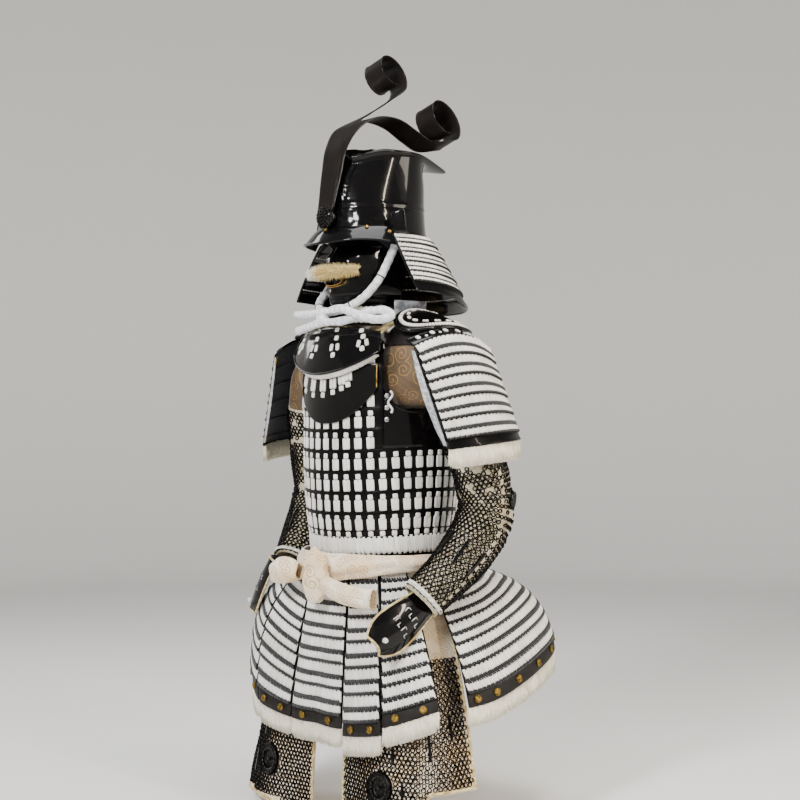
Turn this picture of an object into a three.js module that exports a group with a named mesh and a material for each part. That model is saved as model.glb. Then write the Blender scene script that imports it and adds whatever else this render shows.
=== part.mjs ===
// A samurai armour of the 1500s and later, holding the shape it has when worn, with nobody in it.
// Millimetres, +Z up. The origin is on the body's axis at the level of the shoulder straps.
// The armour faces -Y, and +X is its own left.
import * as THREE from "three";
import { mergeVertices } from "three/addons/utils/BufferGeometryUtils.js";

// Driving dimensions.
const GAP = 0.4; // between pieces that touch
const PLATE = 3; // laced and lacquered plate, with its lacing
const SHELL = 2.5; // helmet and mask
const CLOTH = 2; // mail on cloth, brocade
const LAME_STEP = 2.4; // how far a plate's edge stands over the next plate
const FUR_REACH = 40; // fringe of fur under the skirts and shoulder guards
const FUR_DEPTH = 9;

// The trunk at each height: an ellipse of half width and half depth, with the rows of plates
// rising a little toward the sides.
const TRUNK = [
  { z: -40, halfWidth: 168, halfDepth: 138 },
  { z: -110, halfWidth: 178, halfDepth: 147 },
  { z: -200, halfWidth: 181, halfDepth: 150 },
  { z: -300, halfWidth: 180, halfDepth: 150 },
  { z: -400, halfWidth: 173, halfDepth: 145 },
  { z: -447, halfWidth: 167, halfDepth: 140 },
  { z: -520, halfWidth: 163, halfDepth: 136 },
];
const ROW_RISE = 9;
const CHEST_EDGES = [-50, -95, -138, -181, -224, -267];
const BELLY_EDGES = [-267, -310, -353, -395, -434, -447];
const CHEST_HALF_ANGLE = 45;
const SIDE_JOINT_ANGLE = 95;
const ARMHOLE_FLOOR = -165;
const WAIST_BOTTOM = -503;

// The helmet bowl, upward: half width, reach to the front and back of its axis, how far the
// front narrows to a prow, and the share of the tail that the rim carries at the back.
const HELMET_AXIS_Y = -25;
const HELMET = [
  { z: 185, halfWidth: 112, front: 121, back: 119, prow: 0, tail: 0 },
  { z: 215, halfWidth: 106, front: 116, back: 119, prow: 0, tail: 0 },
  { z: 246, halfWidth: 102, front: 111, back: 120, prow: 0.08, tail: 0 },
  { z: 290, halfWidth: 102, front: 102, back: 121, prow: 0.3, tail: 0 },
  { z: 343, halfWidth: 102, front: 84, back: 121, prow: 0.5, tail: 0 },
  { z: 357, halfWidth: 104, front: 86, back: 124, prow: 0.5, tail: 1 },
  { z: 363, halfWidth: 103, front: 85, back: 123, prow: 0.5, tail: 1 },
  { z: 369, halfWidth: 68, front: 55, back: 80, prow: 0.4, tail: 0.1 },
];
const HELMET_WALL_ROWS = 5;
const HELMET_TOP = 373;
const TAIL_REACH = 80;
const TAIL_DROP = 12;

// The neck guard hangs from the bowl and spreads: five laced plates and a plain one.
const NECK_GUARD = {
  topAngle: 69,
  bottomAngle: 76,
  topRadius: 121,
  topZ: 181,
  bottomRadius: 203,
  cornerDrop: 124,
  backDrop: 154,
  edges: [0, 0.165, 0.33, 0.495, 0.66, 0.83, 1],
};

// The two crest fronds: ribbons that rise from one holder and end in a curl.
const CREST_HOLDER = { y: -150, z: 219, radius: 22, depth: 9 };
const FRONDS = [
  {
    name: "crest_frond_tall",
    route: [
      { x: -10, y: -159, z: 232 },
      { x: -17, y: -139, z: 316 },
      { x: -17, y: -128, z: 362 },
      { x: -18, y: -101, z: 405 },
      { x: -20, y: -62, z: 431 },
      { x: -26, y: 0, z: 463 },
      { x: -36, y: 42, z: 487 },
    ],
    curl: { x: -45, y: 50, z: 549, radius: 48, from: -62, to: 232 },
  },
  {
    name: "crest_frond_low",
    route: [
      { x: 16, y: -159, z: 232 },
      { x: 17, y: -139, z: 316 },
      { x: 17, y: -128, z: 362 },
      { x: 18, y: -101, z: 405 },
      { x: 20, y: -56, z: 433 },
      { x: 24, y: 8, z: 431 },
      { x: 30, y: 56, z: 408 },
      { x: 37, y: 94, z: 391 },
    ],
    curl: { x: 45, y: 123, z: 443, radius: 53, from: -92, to: 228 },
  },
];
const FROND_FOOT_WIDTH = 23;
const FROND_WIDTH = 31;
const FROND_CURL_WIDTH = 46;
const CURL_PLANE = 100; // the direction of both curls from +X, in degrees
const FROND_THICKNESS = 2;
const CURL_SHRINK = 10;

// The mask covers the face from the chin to under the eyes.
const MASK_AXIS_Y = -20;
const MASK_HALF_ANGLE = 96;
const MASK = [
  { z: 162, halfWidth: 84, depth: 88 },
  { z: 140, halfWidth: 86, depth: 100 },
  { z: 110, halfWidth: 86, depth: 106 },
  { z: 85, halfWidth: 83, depth: 106 },
  { z: 60, halfWidth: 78, depth: 107 },
  { z: 40, halfWidth: 70, depth: 102 },
];
const MOUSTACHE = { halfWidth: 86, y: -137, z: 105, halfHeight: 16, halfDepth: 8, bend: 18 };

// The throat guard: a small upper part and a wide lower one, each a flared plate about the body's axis.
const THROAT_UPPER = { halfAngle: 50, topRadius: 118, topZ: 37, bottomRadius: 135, bottomZ: -8, sideDrop: 2 };
const THROAT_LOWER = {
  halfAngle: 48,
  topRadius: 139,
  sideTopRadius: 165,
  topZ: -10,
  sideTopZ: -22,
  bottomRadius: 176,
  sideBottomRadius: 188,
  bottomZ: -110,
  sideBottomZ: -64,
};
const BIB = { fromAngle: -37, toAngle: 41, topZ: -92, bottomZ: -212, sideBottomZ: -142, standOff: 8 };

// The chin cord, from under one side of the helmet round the chin to the other, and its bow.
const CORD_RADIUS = 8.5;
const CHIN_CORD = [
  { x: 103, y: -52, z: 158 },
  { x: 99, y: -70, z: 120 },
  { x: 91, y: -90, z: 82 },
  { x: 72, y: -115, z: 47 },
  { x: 40, y: -134, z: 27 },
];
const CHIN_KNOT = { x: 0, y: -141, z: 22 };
const BOW = [
  { x: -112, y: -140, z: 22 },
  { x: -62, y: -155, z: 18 },
  { x: -8, y: -162, z: 19 },
  { x: 60, y: -154, z: 26 },
  { x: 122, y: -133, z: 22 },
  { x: 152, y: -117, z: 17 },
  { x: 163, y: -111, z: 8 },
  { x: 151, y: -119, z: -2 },
  { x: 118, y: -137, z: -3 },
  { x: 60, y: -158, z: -2 },
  { x: 0, y: -165, z: -2 },
  { x: -56, y: -158, z: -10 },
  { x: -104, y: -143, z: -14 },
];

// Straps, collar and the small wings over the shoulders.
const STRAP = { x: 87, halfWidth: 27, topZ: 3, endZ: -42, endY: 122 };
const COLLAR = { fromAngle: 62, halfWidth: 97, halfDepth: 84, bottomZ: 8, topZ: 46, flare: 8 };
const WING = { x: 164, halfWidth: 58, halfDepth: 92, innerZ: 27, outerZ: -13, dome: 9 };

// A shoulder guard hangs on each upper arm: its front and back edges, and its outward bulge.
const SHOULDER_GUARD = {
  frontTop: [228, -112, -58],
  frontBottom: [302, -88, -262],
  backTop: [236, 95, -58],
  backBottom: [302, 115, -244],
  topBulge: 12,
  bottomBulge: 45,
  topRise: 27,
  bottomRise: 4,
  edges: [0, 0.184, 0.368, 0.552, 0.736, 0.92, 1],
};
const CROWN_PLATE = { height: 24, lean: 0.9, rise: 0.42, clearance: 5 };

// Armoured sleeves: the centre line and the size of the section, from the armhole to the wrist.
// Both share the upper arm; the right forearm ends higher, where its hand rests on the skirt.
const UPPER_SLEEVE = [
  { at: 0, x: 190, y: -2, z: -66, across: 44, deep: 60 },
  { at: 0.16, x: 224, y: 0, z: -120, across: 44, deep: 62 },
  { at: 0.3, x: 243, y: 9, z: -185, across: 47, deep: 60 },
  { at: 0.45, x: 257, y: 27, z: -270, across: 53, deep: 58 },
  { at: 0.62, x: 270, y: 46, z: -358, across: 54, deep: 57 },
];
const ARMS = [
  {
    side: "left",
    sleeve: [
      ...UPPER_SLEEVE,
      { at: 0.72, x: 272, y: 36, z: -415, across: 55, deep: 58 },
      { at: 0.86, x: 256, y: -14, z: -488, across: 50, deep: 53 },
      { at: 1, x: 226, y: -79, z: -557, across: 42, deep: 43 },
    ],
    hand: { wrist: [239, -103, -580], along: [-0.07, -0.84, -0.54], outward: [0.985, -0.14, 0.09], length: 122 },
  },
  {
    side: "right",
    sleeve: [
      ...UPPER_SLEEVE,
      { at: 0.74, x: 269, y: 31, z: -411, across: 53, deep: 55 },
      { at: 0.87, x: 256, y: -5, z: -465, across: 48, deep: 50 },
      { at: 1, x: 240, y: -44, z: -512, across: 43, deep: 44 },
    ],
    hand: { wrist: [252, -119, -526], along: [0.4, -0.26, -0.88], outward: [0.56, -0.775, 0.29], length: 104 },
  },
];
const HAND_GUARD = { wristHalfWidth: 36, halfWidth: 46, sideDrop: 17, endDrop: 12 };

// The sash round the waist, with its knot, loop and loose end.
const SASH = { topZ: -480, frontBottomZ: -536, sideBottomZ: -511, thickness: 21, halfWidth: 171, halfDepth: 145 };
const SASH_KNOT = { x: 4, y: -186, z: -526, halfWidth: 31, halfHeight: 58, halfDepth: 16 };
const SASH_LOOP = [
  { x: -40, y: -190, z: -520, radius: 20 },
  { x: -76, y: -196, z: -518, radius: 27 },
  { x: -110, y: -192, z: -523, radius: 27 },
  { x: -134, y: -180, z: -532, radius: 21 },
];
const SASH_END = [
  { x: 44, y: -194, z: -538, radius: 17 },
  { x: 90, y: -196, z: -550, radius: 20 },
  { x: 136, y: -189, z: -558, radius: 21 },
  { x: 178, y: -176, z: -561, radius: 24 },
];
const SASH_WALL = 3;

// The skirt of eight laced panels. Each row is one edge line, from the middle of the front round
// the armour's left to the middle of the back: where it leaves the waist, as an angle; where its
// hem is; and how much it domes on the way, on the left, where the arm presses it flat, and on
// the right, which mirrors the rest.
const SKIRT_EDGES = [
  { name: "front", angle: 0, x: 0, y: -176, z: -830, leftDome: 0.12, rightDome: 0.12 },
  { name: "front_half", angle: 10, x: 44, y: -180, z: -831, leftDome: 0.14, rightDome: 0.14 },
  { name: "front_corner", angle: 20, x: 84, y: -178, z: -830, leftDome: 0.16, rightDome: 0.2 },
  { name: "second_half", angle: 31, x: 146, y: -181, z: -822, leftDome: 0.2, rightDome: 0.6 },
  { name: "second_corner", angle: 43, x: 200, y: -174, z: -812, leftDome: 0.24, rightDome: 1.1 },
  { name: "third_half", angle: 53, x: 255, y: -148, z: -793, leftDome: 0.26, rightDome: 1.3 },
  { name: "third_corner", angle: 64, x: 300, y: -110, z: -773, leftDome: 0.3, rightDome: 1.45 },
  { name: "side_start", angle: 80, x: 312, y: -44, z: -773, leftDome: 0.4, rightDome: 1.3 },
  { name: "side_crease", angle: 98, x: 322, y: 40, z: -760, leftDome: 0.8, rightDome: 1.1 },
  { name: "side_middle", angle: 116, x: 306, y: 165, z: -722, leftDome: 1.12, rightDome: 1.12 },
  { name: "side_back", angle: 137, x: 249, y: 276, z: -690, leftDome: 1.12, rightDome: 1.12 },
  { name: "back_corner", angle: 158, x: 130, y: 322, z: -676, leftDome: 1, rightDome: 1 },
  { name: "back", angle: 180, x: 0, y: 340, z: -670, leftDome: 1, rightDome: 1 },
];
const SKIRT_TOP = { halfWidth: 167, halfDepth: 141.5, z: -512 };
const SKIRT_LAMES = [0, 0.155, 0.31, 0.465, 0.62, 0.775, 0.93, 1];
const DOME_UPPER = { out: 30, up: 37 };
const DOME_LOWER = { out: 44, up: 68 };
const PANEL_INSET = 2;
const SKIRT_PANELS = [
  { name: "skirt_front", side: "middle", from: "front", to: "front_corner", drop: 0, columns: 6 },
  { name: "skirt_second_left", side: "left", from: "front_corner", to: "second_corner", drop: 14, columns: 4 },
  { name: "skirt_second_right", side: "right", from: "front_corner", to: "second_corner", drop: 0, columns: 4 },
  { name: "skirt_third_left", side: "left", from: "second_corner", to: "third_corner", drop: 0, columns: 4 },
  { name: "skirt_third_right", side: "right", from: "second_corner", to: "third_corner", drop: 0, columns: 4 },
  { name: "skirt_side_left", side: "left", from: "side_start", to: "back_corner", drop: 0, columns: 9 },
  { name: "skirt_side_right", side: "right", from: "side_start", to: "back_corner", drop: 0, columns: 9 },
  { name: "skirt_back", side: "middle", from: "back_corner", to: "back", drop: 0, columns: 6 },
];

// Thigh guards: two aprons of mail on cloth that hang from a band round the waist.
const THIGH_BAND = { halfWidth: 152, halfDepth: 125, topZ: -470, bottomZ: -502 };
const THIGH_TOP = { halfWidth: 155.5, halfDepth: 128.5, z: -492 };
const THIGH_EDGES = [
  { at: 0, angle: 16, x: 48, y: -145 },
  { at: 0.34, angle: 42, x: 165, y: -167 },
  { at: 0.62, angle: 58, x: 268, y: -151 },
  { at: 0.76, angle: 74, x: 300, y: -102 },
  { at: 1, angle: 98, x: 316, y: -10 },
];
const THIGH_FULLNESS = 0.5; // how soon it spreads below the waist
const THIGH_HEM = { innerZ: -1035, outerZ: -1016, wingZ: -942, wingFrom: 0.66, wingTo: 0.71 };

const COLOURS = {
  lacquer: { color: 0x0b0a0b, roughness: 0.12, metalness: 0 },
  lining: { color: 0x10141f, roughness: 0.8, metalness: 0 },
  lacing: { color: 0xe8e5de, roughness: 0.8, metalness: 0 },
  cord: { color: 0xe6e7ea, roughness: 0.7, metalness: 0 },
  fur: { color: 0xe9e0c8, roughness: 0.95, metalness: 0 },
  whisker: { color: 0xd9bf7f, roughness: 0.9, metalness: 0 },
  mail: { color: 0x2b2a29, roughness: 0.45, metalness: 0.6 },
  brocade: { color: 0xd9c9a8, roughness: 0.7, metalness: 0 },
  collar: { color: 0xa9acb2, roughness: 0.9, metalness: 0 },
};

const { lerp, clamp, smoothstep } = THREE.MathUtils;
const radians = THREE.MathUtils.degToRad;
const vector = (x, y, z) => new THREE.Vector3(x, y, z);
const stations = (count) => Array.from({ length: count + 1 }, (_, i) => i / count);

// A smooth value between the rows of a table, read by its key column.
function between(table, key, column, place) {
  const last = table.length - 1;
  const rising = table[last][key] > table[0][key];
  let row = 0;
  while (row < last - 1 && (rising ? place > table[row + 1][key] : place < table[row + 1][key])) row += 1;
  const [before, from, to, after] = [row - 1, row, row + 1, row + 2].map((k) => table[clamp(k, 0, last)]);
  const span = to[key] - from[key];
  const slope = (a, b) => ((b[column] - a[column]) / (b[key] - a[key])) * span;
  const t = clamp((place - from[key]) / span, 0, 1);
  const start = slope(before === from ? from : before, to);
  const end = slope(from, after === to ? to : after);
  return (
    (2 * t ** 3 - 3 * t ** 2 + 1) * from[column] +
    (t ** 3 - 2 * t ** 2 + t) * start +
    (3 * t ** 2 - 2 * t ** 3) * to[column] +
    (t ** 3 - t ** 2) * end
  );
}

// A closed geometry from triangles of points, with collapsed ones dropped and its faces outward.
function closed(triangles) {
  const positions = [];
  for (const triangle of triangles) for (const point of triangle) positions.push(point.x, point.y, point.z);
  const loose = new THREE.BufferGeometry();
  loose.setAttribute("position", new THREE.Float32BufferAttribute(positions, 3));
  const merged = mergeVertices(loose, 1e-3);
  const place = merged.getAttribute("position");
  const corner = (k) => vector(place.getX(k), place.getY(k), place.getZ(k));
  const faces = [];
  let volume = 0;
  for (let i = 0; i < merged.index.count; i += 3) {
    const [a, b, c] = [0, 1, 2].map((k) => merged.index.getX(i + k));
    if (a === b || b === c || c === a) continue;
    faces.push([a, b, c]);
    volume += corner(a).dot(corner(b).cross(corner(c)));
  }
  merged.setIndex(faces.flatMap(([a, b, c]) => (volume < 0 ? [a, c, b] : [a, b, c])));
  merged.computeVertexNormals();
  return merged;
}

const quad = (a, b, c, d) => [[a, b, c], [a, c, d]];

// Loops of points joined one to the next; a looped list joins the last to the first as well,
// and any other list starts and ends on a loop that has shrunk to one point.
function joinLoops(loops, looped) {
  const triangles = [];
  const count = looped ? loops.length : loops.length - 1;
  for (let i = 0; i < count; i += 1) {
    const one = loops[i];
    const next = loops[(i + 1) % loops.length];
    one.forEach((point, k) => {
      const k1 = (k + 1) % one.length;
      triangles.push(...quad(point, one[k1], next[k1], next[k]));
    });
  }
  return triangles;
}

// A wall between an outer and an inner grid of points, closed round its edges.
function wall(outer, inner) {
  const loops = outer.map((row, i) => [...row, ...inner[i].slice().reverse()]);
  const triangles = joinLoops(loops, false);
  const width = outer[0].length;
  for (const [end, turned] of [[0, true], [outer.length - 1, false]]) {
    for (let k = 0; k < width - 1; k += 1) {
      const corners = [outer[end][k], outer[end][k + 1], inner[end][k + 1], inner[end][k]];
      triangles.push(...quad(...(turned ? corners.reverse() : corners)));
    }
  }
  return closed(triangles);
}

// The point at (u, v) of a surface, moved out along its normal. On every surface u runs toward
// the armour's left across the front, and v runs down.
function raised(surface, u, v, height) {
  const step = 1e-3;
  const across = surface(u + step, v).sub(surface(u - step, v));
  const down = surface(u, v + step).sub(surface(u, v - step));
  return surface(u, v).addScaledVector(down.cross(across).normalize(), height);
}

// A sheet of a given thickness under a surface: columns of u, and rows of v with their lift.
function sheet(surface, columns, rows, thickness) {
  const grid = (depth) =>
    rows.map((row) => columns.map((u) => raised(surface, u, row.v, row.lift - depth)));
  return wall(grid(0), grid(thickness));
}

const flat = (count) => stations(count).map((v) => ({ v, lift: 0 }));

// Rows for plates that overlap like tiles: each plate leans out by LAME_STEP at its lower edge,
// or at its upper edge on the trunk, where each plate stands over the one above it.
function lames(edges, upward) {
  const rows = [];
  for (let i = 0; i < edges.length - 1; i += 1) {
    const seam = i ? 0.003 : 0;
    rows.push({ v: edges[i] + seam, lift: upward ? LAME_STEP : 0 });
    rows.push({ v: edges[i + 1], lift: upward ? 0 : LAME_STEP });
  }
  return rows;
}

const parts = new THREE.Group();
const drawn = Object.fromEntries(
  Object.entries(COLOURS).map(([name, look]) => [name, () => new THREE.MeshStandardMaterial(look)]),
);

function add(name, geometry, look) {
  const mesh = new THREE.Mesh(geometry, drawn[look]());
  mesh.name = name;
  parts.add(mesh);
  return mesh;
}

// A piece of the armour's left side, and its mirror image on the right.
function addPair(name, geometry, look) {
  add(`${name}_left`, geometry, look);
  add(`${name}_right`, geometry, look).scale.x = -1;
}

// Trunk -------------------------------------------------------------------------------------

function trunkPoint(angle, z, out = 0) {
  const a = radians(angle);
  const halfWidth = between(TRUNK, "z", "halfWidth", z) + out;
  const halfDepth = between(TRUNK, "z", "halfDepth", z) + out;
  const rise = ROW_RISE * Math.sin(a) ** 2;
  return vector(halfWidth * Math.sin(a), -halfDepth * Math.cos(a), z + rise);
}

// A stretch of the trunk's wall between two angles and two heights.
function trunkSurface(fromAngle, toAngle, topZ, bottomZ, out = 0) {
  return (u, v) => trunkPoint(lerp(fromAngle, toAngle, u), lerp(topZ, bottomZ, v), out);
}

function trunkPiece(fromAngle, toAngle, edges, columns) {
  const [top, bottom] = [edges[0], edges[edges.length - 1] + GAP];
  const shares = edges.map((z) => clamp((z - top) / (bottom - top), 0, 1));
  return sheet(trunkSurface(fromAngle, toAngle, top, bottom), stations(columns), lames(shares, true), PLATE);
}

function addTrunk() {
  const joint = SIDE_JOINT_ANGLE - 0.2;
  const backJoint = SIDE_JOINT_ANGLE + 0.2;
  const chest = CHEST_HALF_ANGLE;
  add("chest_front", trunkPiece(-chest, chest, CHEST_EDGES, 8), "lacquer");
  add("belly_front", trunkPiece(-joint, joint, BELLY_EDGES, 16), "lacquer");
  add("chest_back", trunkPiece(180 - chest, 180 + chest, CHEST_EDGES, 8), "lacquer");
  add("belly_back", trunkPiece(backJoint, 360 - backJoint, BELLY_EDGES, 16), "lacquer");
  const bottom = BELLY_EDGES[0] + GAP;
  const underarm = trunkSurface(chest + 0.3, SIDE_JOINT_ANGLE - 3, ARMHOLE_FLOOR, bottom);
  const hollowed = (u, v) => underarm(u, v).add(vector(0, 0, -30 * Math.sin(Math.PI * u) * (1 - v)));
  addPair("underarm_plate", sheet(hollowed, stations(5), flat(2), PLATE), "lacquer");
}

// The ring of lacing that carries the skirt from the trunk's lower edge.
function addWaistLacing() {
  const ring = (z, out) => stations(27).map((turn) => trunkPoint((turn * 360 * 27) / 28, z, out));
  const top = BELLY_EDGES[BELLY_EDGES.length - 1] - GAP;
  const outer = [ring(top, 0), ring(lerp(top, WAIST_BOTTOM, 0.5), 1), ring(WAIST_BOTTOM, -1)];
  const inner = [ring(WAIST_BOTTOM, -1 - PLATE), ring(top, -PLATE)];
  add("waist_lacing", closed(joinLoops([...outer, ...inner], true)), "lacing");
}

function addStraps() {
  const surface = (u, v) => {
    const y = lerp(-STRAP.endY, STRAP.endY, v);
    const z = lerp(STRAP.topZ, STRAP.endZ, Math.abs(y / STRAP.endY) ** 2.4);
    return vector(STRAP.x + (0.5 - u) * 2 * STRAP.halfWidth, y, z);
  };
  addPair("shoulder_strap", sheet(surface, stations(2), flat(10), PLATE), "lacquer");
}

function addCollar() {
  const surface = (u, v) => {
    const a = radians(lerp(COLLAR.fromAngle, 360 - COLLAR.fromAngle, u));
    const out = COLLAR.flare * (1 - v);
    const x = (COLLAR.halfWidth + out) * Math.sin(a);
    return vector(x, -(COLLAR.halfDepth + out) * Math.cos(a), lerp(COLLAR.topZ, COLLAR.bottomZ, v));
  };
  add("collar", sheet(surface, stations(14), flat(2), PLATE), "collar");
}

function addShoulderWings() {
  const ring = (share, down) =>
    stations(19).map((turn) => {
      const a = ((turn * 19) / 20) * 2 * Math.PI;
      const x = WING.x + share * WING.halfWidth * Math.cos(a);
      const across = (x - WING.x + WING.halfWidth) / (2 * WING.halfWidth);
      const z = lerp(WING.innerZ, WING.outerZ, across) + WING.dome * (1 - share ** 2) - down;
      return vector(x, share * WING.halfDepth * Math.sin(a), z);
    });
  const loops = [ring(0, 0), ring(0.55, 0), ring(1, 0), ring(1, PLATE), ring(0.55, PLATE), ring(0, PLATE)];
  addPair("shoulder_wing", closed(joinLoops(loops, false)), "lacquer");
}

// Helmet ------------------------------------------------------------------------------------

function helmetRing(row, count, inset = 0) {
  return Array.from({ length: count }, (_, i) => {
    const angle = (i / count) * 2 * Math.PI;
    const forward = (1 + Math.cos(angle)) / 2;
    const reach = lerp(row.back, row.front, forward) - inset;
    const narrowing = 1 - row.prow * forward ** 1.5;
    const tail = row.tail * clamp(-Math.cos(angle), 0, 1) ** 6;
    const x = (row.halfWidth - inset) * Math.sin(angle) * narrowing * (1 - 0.35 * tail);
    return vector(x, HELMET_AXIS_Y - reach * Math.cos(angle) + TAIL_REACH * tail, row.z - TAIL_DROP * tail);
  });
}

function addHelmet() {
  const count = 28;
  const pole = (z) => Array.from({ length: count }, () => vector(0, HELMET_AXIS_Y, z));
  const outer = HELMET.map((row) => helmetRing(row, count));
  const wallRows = HELMET.slice(0, HELMET_WALL_ROWS);
  const lid = { z: HELMET[5].z, halfWidth: 82, front: 66, back: 98, prow: 0.4, tail: 0 };
  const inner = [...wallRows, lid].map((row) => helmetRing(row, count, SHELL)).reverse();
  const loops = [...outer, pole(HELMET_TOP), pole(HELMET_TOP - SHELL - 3), ...inner];
  add("helmet_bowl", closed(joinLoops(loops, true)), "lacquer");
}

// A flared strip about the helmet's axis: the radius, stretched along Y, and the height by angle and v.
function aboutHelmet(angle, radius, z, stretch = 1) {
  const a = radians(angle);
  return vector(radius * Math.sin(a), HELMET_AXIS_Y - radius * stretch * Math.cos(a), z);
}

function addPeak() {
  const surface = (u, v) => {
    const angle = lerp(-68, 68, u);
    const edgeZ = 162 + 5 * Math.sin(radians(Math.abs(angle) * 2)) ** 2;
    return aboutHelmet(angle, lerp(112.5, 133, v), lerp(198, edgeZ, Math.max(v, 0) ** 1.3), lerp(1.07, 1.14, v));
  };
  add("helmet_peak", sheet(surface, stations(14), flat(3), SHELL), "lacquer");
}

function neckGuardSurface(u, v) {
  const fromAngle = lerp(NECK_GUARD.topAngle, NECK_GUARD.bottomAngle, v);
  const angle = lerp(fromAngle, 360 - fromAngle, u);
  const behind = 1 - Math.abs(2 * u - 1);
  const radius = lerp(NECK_GUARD.topRadius, NECK_GUARD.bottomRadius, Math.max(v, 0) ** 0.9);
  const drop = lerp(NECK_GUARD.cornerDrop, NECK_GUARD.backDrop, smoothstep(behind, 0, 0.8));
  return aboutHelmet(angle, radius, NECK_GUARD.topZ - drop * v);
}

function addNeckGuard() {
  add("neck_guard", sheet(neckGuardSurface, stations(18), lames(NECK_GUARD.edges, false), PLATE), "lacquer");
  const turnback = (u, v) => {
    const x = lerp(139, 120, u) + 3 * Math.sin(Math.PI * v);
    return vector(x, lerp(-56, -76, u) + 6 * (v - 0.5), lerp(232 - 10 * u, 184, v));
  };
  addPair("turnback", sheet(turnback, stations(2), flat(3), SHELL), "lacquer");
}

// Crest -------------------------------------------------------------------------------------

// One frond: a ribbon along its route and then round its curl, which lies in an upright plane.
function frondSurface({ route, curl }) {
  const away = vector(Math.cos(radians(CURL_PLANE)), Math.sin(radians(CURL_PLANE)), 0);
  const curlAt = (share) => {
    const angle = radians(lerp(curl.from, curl.to, share));
    const radius = curl.radius - CURL_SHRINK * share;
    const centre = vector(curl.x, curl.y, curl.z);
    return centre.addScaledVector(away, radius * Math.cos(angle)).add(vector(0, 0, radius * Math.sin(angle)));
  };
  const points = [...route.map(({ x, y, z }) => vector(x, y, z)), ...stations(9).map(curlAt)];
  const line = new THREE.CatmullRomCurve3(points, false, "centripetal");
  const start = vector(1, 0, 0);
  const end = vector(away.y, -away.x, 0);
  return (u, v) => {
    const place = clamp(v, 0, 1);
    const overrun = (v - place) * 900;
    const point = line.getPointAt(place).addScaledVector(line.getTangentAt(place), overrun);
    const stem = lerp(FROND_FOOT_WIDTH, FROND_WIDTH, smoothstep(v, 0, 0.15));
    const width = lerp(stem, FROND_CURL_WIDTH, smoothstep(v, 0.3, 0.7));
    return point.addScaledVector(start.clone().lerp(end, smoothstep(v, 0.3, 0.6)), (u - 0.5) * width);
  };
}

function addCrest() {
  const { y, z, radius, depth } = CREST_HOLDER;
  const holder = new THREE.CylinderGeometry(radius * 0.8, radius, depth, 16);
  add("crest_holder", holder, "lacquer").position.set(0, y, z);
  for (const frond of FRONDS) {
    add(frond.name, sheet(frondSurface(frond), [0, 1], flat(34), FROND_THICKNESS), "lacquer");
  }
}

// Face and throat ---------------------------------------------------------------------------

function maskPoint(angle, z) {
  const a = radians(angle);
  const halfWidth = between(MASK, "z", "halfWidth", z);
  const depth = between(MASK, "z", "depth", z);
  return vector(halfWidth * Math.sin(a), MASK_AXIS_Y - depth * Math.cos(a), z);
}

function addMask() {
  const [top, bottom] = [MASK[0].z, MASK[MASK.length - 1].z];
  const surface = (u, v) => maskPoint(lerp(-MASK_HALF_ANGLE, MASK_HALF_ANGLE, u), lerp(top, bottom, v));
  add("mask", sheet(surface, stations(14), flat(6), SHELL), "lacquer");
  const { halfWidth, y, z, halfHeight, halfDepth, bend } = MOUSTACHE;
  const brush = (u, v) => {
    const x = lerp(-halfWidth, halfWidth, u);
    const back = bend * (x / halfWidth) ** 2;
    return vector(x, y + back - halfDepth, z + halfHeight * (1 - 2 * v) * (1 - 0.3 * (2 * u - 1) ** 4));
  };
  add("moustache", sheet(brush, stations(8), flat(1), 2 * halfDepth), "whisker");
}

function aboutBody(angle, radius, z) {
  const a = radians(angle);
  return vector(radius * Math.sin(a), -radius * Math.cos(a), z);
}

function addThroatGuard() {
  const upper = (u, v) => {
    const angle = lerp(-THROAT_UPPER.halfAngle, THROAT_UPPER.halfAngle, u);
    const drop = THROAT_UPPER.sideDrop * (2 * u - 1) ** 2 * v;
    const radius = lerp(THROAT_UPPER.topRadius, THROAT_UPPER.bottomRadius, v);
    return aboutBody(angle, radius, lerp(THROAT_UPPER.topZ, THROAT_UPPER.bottomZ, v) - drop);
  };
  add("throat_guard_upper", sheet(upper, stations(12), lames([0, 0.5, 1], false), PLATE), "lacquer");
  const lower = (u, v) => {
    const side = (2 * u - 1) ** 2;
    const top = { radius: lerp(THROAT_LOWER.topRadius, THROAT_LOWER.sideTopRadius, side) };
    top.z = lerp(THROAT_LOWER.topZ, THROAT_LOWER.sideTopZ, side);
    const bottom = { radius: lerp(THROAT_LOWER.bottomRadius, THROAT_LOWER.sideBottomRadius, side) };
    bottom.z = lerp(THROAT_LOWER.bottomZ, THROAT_LOWER.sideBottomZ, side);
    const angle = lerp(-THROAT_LOWER.halfAngle, THROAT_LOWER.halfAngle, u);
    return aboutBody(angle, lerp(top.radius, bottom.radius, Math.max(v, 0) ** 0.8), lerp(top.z, bottom.z, v));
  };
  add("throat_guard_lower", sheet(lower, stations(12), flat(4), PLATE), "lacquer");
  const bib = (u, v) => {
    const angle = lerp(BIB.fromAngle, BIB.toAngle, u);
    const bottom = lerp(BIB.bottomZ, BIB.sideBottomZ, Math.abs(2 * u - 1) ** 2.2);
    return trunkPoint(angle, lerp(BIB.topZ, bottom, v), BIB.standOff);
  };
  add("throat_bib", sheet(bib, stations(10), flat(3), PLATE), "lacquer");
}

// A round cord of eight sides along a route of points.
function cordAlong(points, radius, steps) {
  const section = new THREE.Shape(
    Array.from({ length: 8 }, (_, i) => {
      const a = (i / 8) * 2 * Math.PI;
      return new THREE.Vector2(radius * Math.cos(a), radius * Math.sin(a));
    }),
  );
  const extrudePath = new THREE.CatmullRomCurve3(points.map(({ x, y, z }) => vector(x, y, z)));
  return new THREE.ExtrudeGeometry(section, { steps, extrudePath, bevelEnabled: false });
}

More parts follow.
